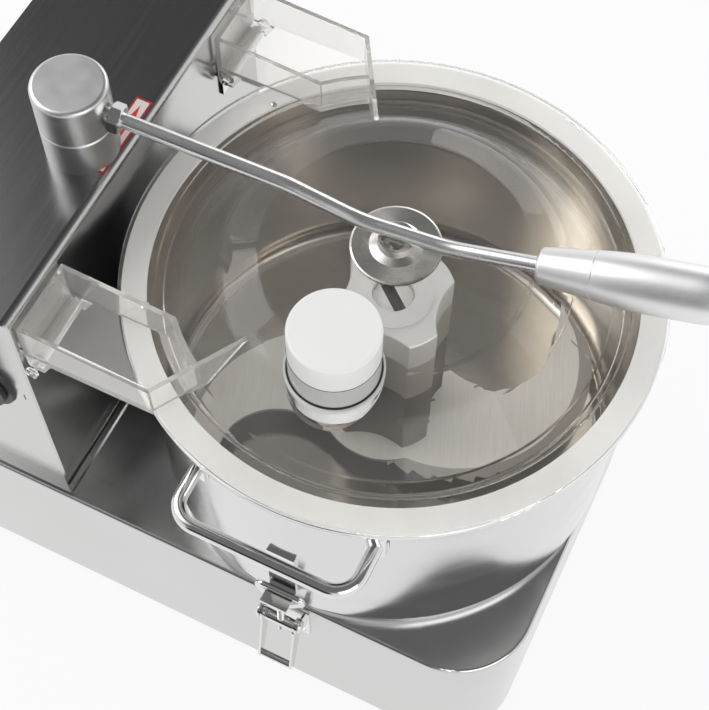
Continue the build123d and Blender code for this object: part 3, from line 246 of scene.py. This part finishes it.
# Stainless plate, faced on a lathe: highlights fan out from its middle.
facedSteel = metal({
    "name": "facedStainless", "light": "#d8d5d0", "dark": "#cfccc7",
    "mark": (9, 9, 9), "rough": (0.26, 0.3), "depth": 0.0005, "detail": 1.0, "turned": 0.85,
})
# Bright bar of the lever, drawn and chromed: crisp light and dark stripes along it.
chromedBar = metal({
    "name": "chromedSteelBar", "light": "#efefef", "dark": "#e8e8e8",
    "mark": (40, 6, 6), "rough": (0.25, 0.31), "depth": 0.001, "detail": 1.0,
})
# Aluminium grip, turned and clear anodised: pale and silky.
anodisedAluminium = metal({
    "name": "anodisedAluminium", "light": "#f0f0f1", "dark": "#e8e8e9",
    "mark": (1.2, 1.2, 1.2), "rough": (0.38, 0.45), "depth": 0.001,
})
# Aluminium nut of the blade stack, machined and tumbled: pale satin.
tumbledAluminium = metal({
    "name": "tumbledAluminium", "light": "#dddcd9", "dark": "#cfcecb",
    "mark": (1.0, 1.0, 1.0), "rough": (0.42, 0.5), "depth": 0.004, "metallic": 0.5,
})
# Aluminium spacers, milled: some lighter and some darker.
milledAluminium = metal({
    "name": "milledAluminium", "light": "#b9b4ae", "dark": "#aaa59f",
    "mark": (2, 2, 0.7), "rough": (0.34, 0.44), "depth": 0.002, "metallic": 0.7,
})
# The same aluminium, darker, for the middle spacer and the blade hub: dull grey brown.
darkenedAluminium = metal({
    "name": "darkenedAluminium", "light": "#7f7870", "dark": "#6d665f",
    "mark": (2, 2, 0.7), "rough": (0.32, 0.42), "depth": 0.002,
})
# Sand-cast aluminium, as cast: grey and pebbled, with no clear highlight.
castAluminium = metal({
    "name": "sandCastAluminium", "light": "#c3c3c1", "dark": "#afafad",
    "mark": (0.9, 0.9, 0.9), "rough": (0.42, 0.55), "depth": 0.04,
})
# Zinc-plated steel: cool grey with a slight cloud.
zincPlate = metal({
    "name": "zincPlatedSteel", "light": "#bfc1bd", "dark": "#a6a9a1",
    "mark": (6, 6, 6), "rough": (0.3, 0.42), "depth": 0.01,
})
# Plain steel, turned and ground: mid grey, with short soft highlights.
machinedSteel = metal({
    "name": "machinedSteel", "light": "#d2d2d2", "dark": "#bcbcbc",
    "mark": (2, 2, 0.6), "rough": (0.34, 0.44), "depth": 0.002,
})
# Acetal plug, injection moulded: chalk white with a soft sheen.
whiteAcetal = moulded({
    "name": "whiteAcetal", "light": "#f8f8f7", "dark": "#f5f5f4", "grit": 0.8, "rough": (0.34, 0.42),
    "depth": 0.008, "ior": 1.48, "milky": 0.1,
})
# Silicone seal, moulded: milky white under the lid's edge.
milkySilicone = moulded({
    "name": "milkySilicone", "light": "#eeedea", "dark": "#e6e5e2", "grit": 1.5, "rough": (0.4, 0.5),
    "depth": 0.015, "ior": 1.41, "milky": 0.2,
})
# Black nylon, moulded with a fine grain: deep grey with a broad sheen.
blackNylon = moulded({
    "name": "blackMouldedNylon", "light": "#1a1a1b", "dark": "#101011", "grit": 0.6, "rough": (0.38, 0.5),
    "depth": 0.03, "ior": 1.53,
})
# Nitrile rubber: black and nearly matt.
blackRubber = moulded({
    "name": "blackNitrileRubber", "light": "#1e1e1e", "dark": "#141414", "grit": 0.9, "rough": (0.62, 0.75),
    "depth": 0.05, "ior": 1.52,
})
# Motor enamel, sprayed over castings: slate grey and half gloss.
motorEnamel = moulded({
    "name": "greyMotorEnamel", "light": "#41454a", "dark": "#34383e", "grit": 1.2, "rough": (0.32, 0.42),
    "depth": 0.04, "ior": 1.5,
})
# Polycarbonate lid, injection moulded: water clear with pale edges.
clearLid = clear({
    "name": "clearPolycarbonate", "tint": "#fdfdfd", "rough": (0.0, 0.02), "ior": 1.28, "depth": 0.1,
    "haze": 0.03, "hazeColour": "#f4f3f0",
})
# The same plastic in the thicker hinge ears: clear with a milky body.
clearEar = clear({
    "name": "clearPolycarbonateEars", "tint": "#fdfdfc", "rough": (0.02, 0.05), "ior": 1.36, "depth": 0.1,
    "haze": 0.13, "hazeColour": "#f6f3ee",
})

# Blade: stainless, surface ground across and bevelled, so its flat is pale and streaked; its bevel, ground
# apart, is also painted darker by its tilt as painted shade.
bladeLook = {
    "flat": "#f6f2ea", "streak": "#ebe7df", "bevel": "#a8a298", "metallic": 0.12, "grainTurn": 22,
    "mark": (1.0, 40, 20), "rough": (0.46, 0.54), "depth": 0.001, "shadedBevelFrom": 0.972, "shadedBevelTo": 0.992,
}


def groundBlade(look):
    material, tree = newMaterial("groundBladeSteel")
    marks = noiseMarks(tree, look["mark"], 4.0, turn=look["grainTurn"])
    # painted shade: faces tilted off level, the bevel, take the darker bevel colour
    flat = ranged(tree, upwardness(tree), 0, 1, look["shadedBevelFrom"], look["shadedBevelTo"])
    streaked = colourMix(tree, ranged(tree, marks, 0, 1), look["streak"], look["flat"])
    colour = colourMix(tree, flat, look["bevel"], streaked)
    finishSurface(tree, look, marks, colour, {"Metallic": look["metallic"]})
    return material


bladeSteel = groundBlade(bladeLook)

# Housing: satin stainless sheet, brushed across. The top is painted darker, a painted reflection of the dark
# ceiling that a flat sheet shows.
housingLook = {
    "wall": "#cbcbca", "top": "#858586", "mark": (1.0, 80, 1.0), "rough": (0.17, 0.22), "depth": 0.0008,
    "paintedTopFrom": 0.8, "paintedTopTo": 0.98,
}


def satinHousing(look):
    material, tree = newMaterial("satinStainlessHousing")
    marks = noiseMarks(tree, look["mark"], 2.0)
    # painted reflection: faces that look up take the darker top colour, the dark ceiling painted in
    top = ranged(tree, upwardness(tree), 0, 1, look["paintedTopFrom"], look["paintedTopTo"])
    finishSurface(tree, look, marks, colourMix(tree, top, look["wall"], look["top"]), {"Metallic": 1.0})
    return material


# Bowl: stainless, deep drawn and polished. Outside it is a pale mirror; inside it is painted warm, a painted
# reflection, and painted darker towards the floor as painted shade.
bowlLook = {
    "outside": "#d9d9d9", "inside": "#d5cec3", "floor": "#cac3b7", "mark": (60, 60, 20),
    "rough": (0.13, 0.19),
    "depth": 0.003, "innerRadius": 164.2, "wall": 1.5, "wallMargin": 0.3, "underFrom": -0.1, "underTo": -0.01,
    "floorShadeShare": 0.8,
}


def drawnBowl(look):
    material, tree = newMaterial("deepDrawnStainless")
    marks = noiseMarks(tree, look["mark"], 1.0)
    place = addNode(tree, "ShaderNodeTexCoord").outputs["Object"]
    middle = vectorMath(tree, "SUBTRACT", place, (spindleX, 0, 0))["Vector"]
    level = vectorMath(tree, "MULTIPLY", middle, (1, 1, 0))["Vector"]
    radius = vectorMath(tree, "LENGTH", level)["Value"]
    inner = look["innerRadius"] * mm
    margin = look["wallMargin"]
    beyond = ranged(tree, radius, 0, 1, inner + margin * mm, inner + (look["wall"] - margin) * mm)
    under = ranged(tree, upwardness(tree), 1, 0, look["underFrom"], look["underTo"])
    outer = mathOf(tree, "MAXIMUM", beyond, under)
    # painted reflection and painted shade: the inside is painted warm, and darker still towards the middle of
    # the floor
    deep = ranged(tree, radius, 0, 1, inner * look["floorShadeShare"], inner)
    inside = colourMix(tree, deep, look["floor"], look["inside"])
    finishSurface(tree, look, marks, colourMix(tree, outer, inside, look["outside"]), {"Metallic": 1.0})
    return material


# Feed tube: polycarbonate, moulded and smooth. Its wall is grey, the collar it stands on milky.
tubeLook = {
    "wall": "#cdcecd", "collar": "#eeede9", "collarTop": 37.05, "grit": 12, "rough": (0.14, 0.2),
    "depth": 0.002, "ior": 1.58,
}
# Spindle top: faced steel, bright, with the floor of its slot painted dark as painted shade.
shaftLook = {
    "face": "#e9e7e3", "slot": "#4b4744", "slotStart": 1.0, "mark": (5, 5, 5), "rough": (0.32, 0.4),
    "depth": 0.001, "metallic": 0.5,
}


# The share of one finish above a level, given in metres.
def aboveLevel(tree, level, blend=0.2 * mm):
    height = zOf(tree, addNode(tree, "ShaderNodeTexCoord").outputs["Object"])
    return ranged(tree, height, 0, 1, level - blend, level + blend)


def bandedTube(look):
    material, tree = newMaterial("smoothPolycarbonateTube")
    fine = noiseMarks(tree, (look["grit"],) * 3, 1.0)
    upper = aboveLevel(tree, flangeZ + look["collarTop"] * mm)
    colour = colourMix(tree, upper, look["collar"], look["wall"])
    finishSurface(tree, look, fine, colour, {"IOR": look["ior"]})
    return material


def slottedShaft(look):
    material, tree = newMaterial("facedSpindleSteel")
    marks = noiseMarks(tree, look["mark"], 2.0)
    # painted shade: the steel just below the shaft's top is painted dark, standing in for the slot's shaded
    # floor
    upper = aboveLevel(tree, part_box("spindle_shaft")[1].z - look["slotStart"] * mm)
    colour = colourMix(tree, upper, look["slot"], look["face"])
    finishSurface(tree, look, marks, colour, {"Metallic": look["metallic"]})
    return material


housingSheet = satinHousing(housingLook)
drawnSteel = drawnBowl(bowlLook)
tubePlastic = bandedTube(tubeLook)
spindleSteel = slottedShaft(shaftLook)
print("materials made")

nodeFinish = {
    "base_shell": plinthSheet, "bottom_plate": zincPlate, "rubber_feet": blackRubber,
    "foot_screws": zincPlate,
    "housing_shell": housingSheet, "rear_cover": housingSheet, "rear_cover_screws": zincPlate,
    "housing_skirt": plinthSheet, "cable_gland": blackNylon, "post_base": satinSteel,
    "post_spindle": machinedSteel, "lever_cap": satinSteel, "lever_locknut": buffedSteel,
    "lever_rod": chromedBar, "lever_grip": anodisedAluminium, "lever_switch": blackNylon,
    "bowl": drawnSteel, "bowl_rim": buffedSteel, "front_bowl_handle": buffedSteel,
    "rear_bowl_handle": buffedSteel, "front_bowl_hook": buffedSteel, "rear_bowl_hook": buffedSteel,
    "lid": clearLid, "front_lid_ear": clearEar, "rear_lid_ear": clearEar, "lid_gasket": milkySilicone,
    "pressure_disc": facedSteel, "hinge_pins": clearLid, "hinge_brackets": buffedSteel,
    "feed_tube": tubePlastic, "feed_plug": whiteAcetal, "spindle_shaft": spindleSteel,
    "spindle_bearings": machinedSteel, "bearing_cartridge": castAluminium, "cartridge_bolts": zincPlate,
    "shaft_seal": blackRubber, "star_nut": tumbledAluminium, "upper_spacer": milledAluminium,
    "middle_spacer": darkenedAluminium, "blade_hub": darkenedAluminium, "s_blade": bladeSteel,
    "spindle_pulley": castAluminium, "drive_belt": blackRubber, "motor_pulley": castAluminium,
    "motor_plate": zincPlate, "motor_stator": motorEnamel, "motor_drive_end": motorEnamel,
    "motor_fan_end": motorEnamel, "motor_bearings": machinedSteel, "motor_rotor": machinedSteel,
    "run_capacitor": blackNylon, "front_latch_base": buffedSteel, "front_latch_lever": buffedSteel,
    "front_latch_bail": buffedSteel, "rear_latch_base": buffedSteel, "rear_latch_lever": buffedSteel,
    "rear_latch_bail": buffedSteel, "switch_bezel": blackNylon, "switch_knob": blackNylon,
    "switch_body": blackNylon,
}
for name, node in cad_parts.items():
    slots = node.data.materials
    slots.clear()
    slots.append(nodeFinish[name])
print("CAD pieces finished:", len(nodeFinish))


# Everything from here to the floor is added to the CAD pieces.
def addPiece(name, mesh, material, body):
    piece = bpy.data.objects.new(name, mesh)
    bpy.context.collection.objects.link(piece)
    mesh.materials.append(material)
    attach(piece, body)
    return piece


# A flat outline in mm, raised to a thin plate with a softened upper edge.
def plateMesh(name, outline, middle, thickness, bevel):
    bm = bmesh.new()
    corners = [bm.verts.new(middle + Vector((x * mm, y * mm, 0))) for x, y in outline]
    face = bm.faces.new(corners)
    if face.normal.z < 0:
        face.normal_flip()
    raised = bmesh.ops.extrude_face_region(bm, geom=[face])
    top = [v for v in raised["geom"] if isinstance(v, bmesh.types.BMVert)]
    bmesh.ops.translate(bm, verts=top, vec=(0, 0, thickness * mm))
    edges = [e for e in bm.edges if all(v in top for v in e.verts)]
    bmesh.ops.bevel(bm, geom=edges, offset=bevel * mm, segments=2, profile=0.5, affect="EDGES")
    bmesh.ops.recalc_face_normals(bm, faces=bm.faces)
    mesh = bpy.data.meshes.new(name)
    bm.to_mesh(mesh)
    bm.free()
    return mesh


def roundedRectangle(width, length, corner, steps=5):
    outline = []
    for cornerX, cornerY, start in ((1, 1, 0), (-1, 1, 90), (-1, -1, 180), (1, -1, 270)):
        for step in range(steps + 1):
            angle = radians(start + 90 * step / steps)
            outline.append((
                cornerX * (width / 2 - corner) + corner * cos(angle),
                cornerY * (length / 2 - corner) + corner * sin(angle),
            ))
    return outline


# Swing-direction plate on the housing: printed aluminium foil with one long arrow.
arrowPlate = {
    "middle": (-194.0, -3.4, 39.4), "width": 12.2, "length": 63.0, "corner": 0.8, "thickness": 0.3,
    "border": 1.5, "printRise": 0.06, "tailWidth": 6.0, "shaftWidth": 1.8, "headWidth": 7.4,
    "tail": (-28.0, -25.0, -8.0, -5.0), "head": (9.5, 26.0), "barbSweep": 2.0, "borderRed": "#a81a12",
    "arrowRed": "#d8240f", "field": "#ded6d3", "edge": 0.1, "printEdge": 0.02,
}
# Printed ink under a thin clear coat.
inkLook = {"grain": (0.7, 0.7, 0.7), "rough": (0.36, 0.46), "depth": 0.01, "coat": 0.3}


def printedInk(name, colour, look):
    material, tree = newMaterial(name)
    grain = noiseMarks(tree, look["grain"], 2.0)
    shader = addNode(tree, "ShaderNodeBsdfPrincipled", {
        "Base Color": linear(colour), "Metallic": 0.0, "Coat Weight": look["coat"],
    }, {"Roughness": ranged(tree, grain, *look["rough"]), "Normal": bumpFrom(tree, grain, look["depth"])})
    finishMaterial(tree, shader.outputs["BSDF"])
    return material


def makeArrowPlate(look):
    middle = spot(*look["middle"])
    width, length, corner = look["width"], look["length"], look["corner"]
    rise = look["printRise"]
    inner = roundedRectangle(width - 2 * look["border"], length - 2 * look["border"], corner / 2)
    level = middle + Vector((0, 0, look["thickness"] * mm))
    end, notch, shoulder, neck = look["tail"]
    barb, tip = look["head"]
    tail, shaft, head = look["tailWidth"] / 2, look["shaftWidth"] / 2, look["headWidth"] / 2
    right = [
        (0, notch), (tail, end), (tail, shoulder), (shaft, neck), (shaft, barb),
        (head, barb - look["barbSweep"]), (0, tip),
    ]
    arrow = right + [(-x, y) for x, y in reversed(right[1:-1])]
    above = level + Vector((0, 0, rise * mm))
    for part, outline, place, thickness, edge, inkName, colour in (
        ("base", roundedRectangle(width, length, corner), middle, look["thickness"], look["edge"],
         "borderInk", look["borderRed"]),
        ("field", inner, level, rise, look["printEdge"], "foilField", look["field"]),
        ("arrow", arrow, above, rise, look["printEdge"], "arrowInk", look["arrowRed"]),
    ):
        mesh = plateMesh("arrowPlate" + part.title(), outline, place, thickness, edge)
        addPiece(f"arrow_plate_{part}", mesh, printedInk(inkName, colour, inkLook), "machine")


makeArrowPlate(arrowPlate)
print("arrow plate made")


# A bead or wire along points in metres, with a radius in mm that may change from point to point.
def wirePiece(name, points, radius, swell, closed, material, body):
    curve = bpy.data.curves.new(name, "CURVE")
    curve.dimensions = "3D"
    curve.bevel_depth = radius * mm
    curve.bevel_resolution = 3
    spline = curve.splines.new("POLY")
    spline.points.add(len(points) - 1)
    for index, place in enumerate(points):
        spline.points[index].co = (*place, 1)
        spline.points[index].radius = swell(index)
    spline.use_cyclic_u = closed
    curve.use_fill_caps = not closed
    return addPiece(name, curve, material, body)


# A turned shape: profile points are (radius, height) in mm, along an axis from a foot in metres.
def turnedPiece(name, profile, foot, axis, material, body, segments=32):
    bm = bmesh.new()
    rings = []
    for radius, height in profile:
        turns = [2 * pi * k / segments for k in range(segments)]
        rings.append([
            bm.verts.new((radius * mm * cos(turn), radius * mm * sin(turn), height * mm)) for turn in turns
        ])
    for low, high in zip(rings, rings[1:]):
        for k in range(segments):
            follow = (k + 1) % segments
            bm.faces.new((low[k], low[follow], high[follow], high[k]))
    bm.faces.new(rings[-1])
    bm.faces.new(list(reversed(rings[0])))
    for face in bm.faces:
        face.smooth = True
    bm.transform(Matrix.Translation(foot) @ Vector(axis).to_track_quat("Z", "Y").to_matrix().to_4x4())
    mesh = bpy.data.meshes.new(name)
    bm.to_mesh(mesh)
    bm.free()
    return addPiece(name, mesh, material, body)


# Weld bead round each pad of the bowl handles: small even ripples.
handleWelds = {
    "reach": 62.0, "padWidth": 12.0, "padHeight": 32.0, "level": -44.0, "wallRadius": 165.9, "bead": 0.9,
    "ripple": 0.22, "rippleStep": 2.1, "margin": 0.4, "points": 96,
}


def makeHandleWelds(look):
    halfWidth = look["padWidth"] / 2 + look["margin"]
    straight = look["padHeight"] / 2 - look["padWidth"] / 2
    count = look["points"]

    def outline(share):
        angle = 2 * pi * share
        lift = straight if sin(angle) >= 0 else -straight
        return halfWidth * cos(angle), lift + halfWidth * sin(angle)

    for side, sign in (("front", -1), ("rear", 1)):
        for end, place in (("left", -1), ("right", 1)):
            points = []
            for k in range(count):
                across, up = outline(k / count)
                x = place * look["reach"] + across
                y = sign * (look["wallRadius"] ** 2 - x ** 2) ** 0.5
                points.append(spot(x, y, look["level"] + up))
            wirePiece(
                f"{side}_handle_weld_{end}", points, look["bead"],
                lambda k: 1 + look["ripple"] * sin(k * look["rippleStep"]), True, buffedSteel, "machine")


makeHandleWelds(handleWelds)

# Draw latches: domed rivet heads on the pivots and the thread cut on each stud.
latchDetail = {
    "pivotOut": 11.0, "pivotDown": 8.0, "cheek": 15.5,
    "dome": [(5.0, 0), (5.0, 0.9), (4.2, 1.7), (2.4, 2.2), (0.4, 2.4)],
    "pinOut": 9.5, "pinDown": 16.874, "barOut": 7.5, "barUp": 38.0, "stud": 2.6, "tail": 13.5, "free": 4.5,
    "threadTop": 26.0, "pitch": 1.25, "ridge": 0.28, "stepsPerTurn": 14,
}


def makeLatchDetail(look):
    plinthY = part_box("base_shell")[1].y
    deckZ = bowlLow.z
    up = Vector((0, look["barOut"] - look["pinOut"], look["barUp"] + look["pinDown"])).normalized()
    for side, sign in (("front", -1), ("rear", 1)):
        pivot = Vector((spindleX, sign * (plinthY + look["pivotOut"] * mm), deckZ - look["pivotDown"] * mm))
        for end, way in (("left", -1), ("right", 1)):
            foot = pivot + Vector((way * look["cheek"] * mm, 0, 0))
            turnedPiece(
                f"{side}_latch_dome_{end}", look["dome"], foot, (way, 0, 0), buffedSteel, "machine")
        pin = Vector((spindleX, sign * (plinthY + look["pinOut"] * mm), deckZ - look["pinDown"] * mm))
        along = Vector((0, sign * up.y, up.z))
        across = Vector((1, 0, 0))
        beside = along.cross(across)
        for part, start, end in (
            ("tail", -look["tail"], -look["free"]), ("shank", look["free"], look["threadTop"]),
        ):
            turns = (end - start) / look["pitch"]
            steps = int(turns * look["stepsPerTurn"])
            points = []
            for k in range(steps + 1):
                angle = 2 * pi * k / look["stepsPerTurn"]
                height = start + (end - start) * k / steps
                points.append(
                    pin + along * height * mm
                    + (across * cos(angle) + beside * sin(angle)) * look["stud"] * mm)
            wirePiece(
                f"{side}_latch_thread_{part}", points, look["ridge"], lambda k: 1.0, False, buffedSteel,
                f"{side}_latch_bail")


makeLatchDetail(latchDetail)

# Marks for off and on beside the rotary switch, screen printed on the housing.
switchMarks = {
    "height": 7.0, "sizeOfHeight": 1.4, "reach": 34.0, "ink": "#1b1b1c", "grain": (0.5, 0.5, 0.5),
    "rough": (0.45, 0.6), "thickness": 0.05, "marks": (("0", 90), ("1", 0)),
}


def makeSwitchMarks(look):
    low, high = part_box("switch_bezel")
    middle = Vector(((low.x + high.x) / 2, high.y, (low.z + high.z) / 2))
    ink, tree = newMaterial("blackScreenInk")
    grain = noiseMarks(tree, look["grain"], 2.0)
    shader = addNode(tree, "ShaderNodeBsdfPrincipled", {"Base Color": linear(look["ink"])}, {
        "Roughness": ranged(tree, grain, *look["rough"]),
    })
    finishMaterial(tree, shader.outputs["BSDF"])
    for text, angle in look["marks"]:
        curve = bpy.data.curves.new(f"mark{text}", "FONT")
        curve.body = text
        curve.align_x = "CENTER"
        curve.align_y = "CENTER"
        curve.size = look["height"] * mm * look["sizeOfHeight"]
        curve.extrude = look["thickness"] * mm
        piece = addPiece(f"switch_mark_{text}", curve, ink, "machine")
        turn = radians(angle)
        piece.location = middle + Vector((look["reach"] * mm * cos(turn), 0, look["reach"] * mm * sin(turn)))
        piece.rotation_euler = (pi / 2, 0, 0)


makeSwitchMarks(switchMarks)

# Black rings on the feed tube, put where its shadow gaps are as painted shade: one under the plug's head, one
# at the foot of the tube's wall.
tubeShadeRings = {
    "middle": (3.0, -92.5), "points": 72,
    "rings": (
        ("plug_head_shade_ring", 27.95, 58.15, 0.3, "feed_plug"), ("tube_foot_shade_ring", 28.55, 37.5, 0.65, "machine"),
    ),
}
# each ring is a black line of painted shade in a gap
for name, radius, level, thickness, body in tubeShadeRings["rings"]:
    x, y = tubeShadeRings["middle"]
    places = []
    for k in range(tubeShadeRings["points"]):
        angle = 2 * pi * k / tubeShadeRings["points"]
        places.append(spot(x + radius * cos(angle), y + radius * sin(angle), level))
    wirePiece(name, places, thickness, lambda k: 1.0, True, blackRubber, body)

# Small dowels set in the lid's flange beside the hinge ears.
flangeDowels = {"place": (-132.2, 88.3, 0.0), "profile": [(2.2, 0), (2.2, 0.7), (1.8, 1.0), (0.5, 1.1)]}
for side, sign in (("front", -1), ("rear", 1)):
    x, y, z = flangeDowels["place"]
    turnedPiece(
        f"{side}_flange_dowel", flangeDowels["profile"], spot(x, sign * y, z), (0, 0, 1), buffedSteel,
        "machine")
print("welds, latch details, switch marks, tube rings and dowels made")

# Paper floor, and the studio that metal sees.
studio = {
    "floorSize": 12.0, "floorColour": "#f4f4f4", "floorGlow": 0.88, "fill": 0.56,
    "wall": "#eeeeee", "ceiling": "#747474", "ceilingFrom": 0.42, "ceilingTo": 0.62,
    "softbox": (-0.72, -0.05, 0.69), "softboxFrom": 0.84, "softboxTo": 0.94, "softboxStrength": 1.5,
    "flag": (-0.1, -0.95, 0.24), "flagFrom": 0.91, "flagTo": 0.96, "flagColour": "#3c3c3c",
}


# White for the camera and for reflections, and shaded paper for the rest.
def makeFloor(look):
    mesh = bpy.data.meshes.new("studioFloor")
    half = look["floorSize"] / 2
    corners = [(-half, -half, 0), (half, -half, 0), (half, half, 0), (-half, half, 0)]
    mesh.from_pydata(corners, [], [(0, 1, 2, 3)])
    floor = bpy.data.objects.new("studioFloor", mesh)
    bpy.context.collection.objects.link(floor)
    material, tree = newMaterial("paperFloor")
    path = addNode(tree, "ShaderNodeLightPath").outputs
    seen = mathOf(tree, "MAXIMUM", path["Is Camera Ray"], path["Is Glossy Ray"])
    seen = mathOf(tree, "MAXIMUM", seen, path["Is Transmission Ray"])
    share = mathOf(tree, "MULTIPLY", seen, look["floorGlow"])
    paper = addNode(tree, "ShaderNodeBsdfDiffuse", {"Color": linear(look["floorColour"])})
    glow = addNode(tree, "ShaderNodeEmission", {"Color": (1, 1, 1, 1), "Strength": 1.0})
    finishMaterial(tree, mixShaders(tree, share, paper.outputs["BSDF"], glow.outputs["Emission"]))
    mesh.materials.append(material)


# White behind the object. Metal sees pale walls with one dark flag, a dark ceiling and a large softbox in it.
def makeWorld(look):
    world = bpy.data.worlds.new("studio")
    bpy.context.scene.world = world
    world.use_nodes = True
    tree = world.node_tree
    tree.nodes.clear()
    direction = addNode(tree, "ShaderNodeTexCoord").outputs["Generated"]

    def towards(name):
        facing = vectorMath(tree, "DOT_PRODUCT", direction, Vector(look[name]).normalized())["Value"]
        return ranged(tree, facing, 0, 1, look[name + "From"], look[name + "To"])

    def background(colour, strength):
        return addNode(tree, "ShaderNodeBackground", {
            "Color": colour, "Strength": strength,
        }).outputs["Background"]

    up = ranged(tree, zOf(tree, direction), 0, 1, look["ceilingFrom"], look["ceilingTo"])
    lower = colourMix(tree, towards("flag"), look["wall"], look["flagColour"])
    room = addNode(tree, "ShaderNodeBackground", {"Strength": 1.0}, {
        "Color": colourMix(tree, up, lower, look["ceiling"]),
    }).outputs["Background"]
    white = (1, 1, 1, 1)
    seenByMetal = mixShaders(tree, towards("softbox"), room, background(white, look["softboxStrength"]))
    path = addNode(tree, "ShaderNodeLightPath").outputs
    straight = mathOf(tree, "MAXIMUM", path["Is Camera Ray"], path["Is Transmission Ray"])
    plain = mixShaders(tree, straight, background(white, look["fill"]), background(white, 1.0))
    # a ray that has met metal keeps seeing the studio, also once it has left through the lid
    met = mathOf(tree, "MINIMUM", path["Glossy Depth"], 1.0)
    whole = mixShaders(tree, met, plain, seenByMetal)
    addNode(tree, "ShaderNodeOutputWorld", links={"Surface": whole})


# Three wide softboxes, so that none shows as a hard shape in metal.
lamps = {
    "keyLamp": {"place": (-2.3, -0.16, 2.3), "size": (2.2, 1.8), "power": 31},
    "fillLamp": {"place": (2.2, -1.5, 1.7), "size": (2.2, 2.0), "power": 25},
    "backLamp": {"place": (0.3, 2.8, 1.3), "size": (2.2, 1.2), "power": 14},
}


lampTarget = (0, 0, 0.2)


def addLamp(name, look):
    light = bpy.data.lights.new(name, "AREA")
    light.shape = "RECTANGLE"
    light.size, light.size_y = look["size"]
    light.energy = look["power"]
    lamp = bpy.data.objects.new(name, light)
    bpy.context.collection.objects.link(lamp)
    lamp.location = look["place"]
    lamp.rotation_euler = (Vector(lampTarget) - Vector(look["place"])).to_track_quat("-Z", "Y").to_euler()


# The viewpoint, in lid radii from the middle of the lid's ring. turn is a rotation vector.
viewpoint = {
    "lidRadius": 176.5, "place": (1.0848, -2.6475, 4.6844), "turn": (0.488736, 0.104752, 0.444269),
    "focal": 1512.14, "frameHeight": 710, "sensor": 36.0, "clipStart": 0.01,
}


def makeCamera(look):
    data = bpy.data.cameras.new("camera")
    data.sensor_width = look["sensor"]
    data.lens = look["focal"] * look["sensor"] / look["frameHeight"]
    data.clip_start = look["clipStart"]
    camera = bpy.data.objects.new("camera", data)
    bpy.context.collection.objects.link(camera)
    turn = Vector(look["turn"])
    place = spot(*[share * look["lidRadius"] for share in look["place"]])
    camera.matrix_world = Matrix.Translation(place) @ Matrix.Rotation(turn.length, 4, turn)
    bpy.context.scene.camera = camera


makeFloor(studio)
makeWorld(studio)
for name, look in lamps.items():
    addLamp(name, look)
makeCamera(viewpoint)
bpy.context.scene.view_settings.view_transform = "Standard"
print("stage set")
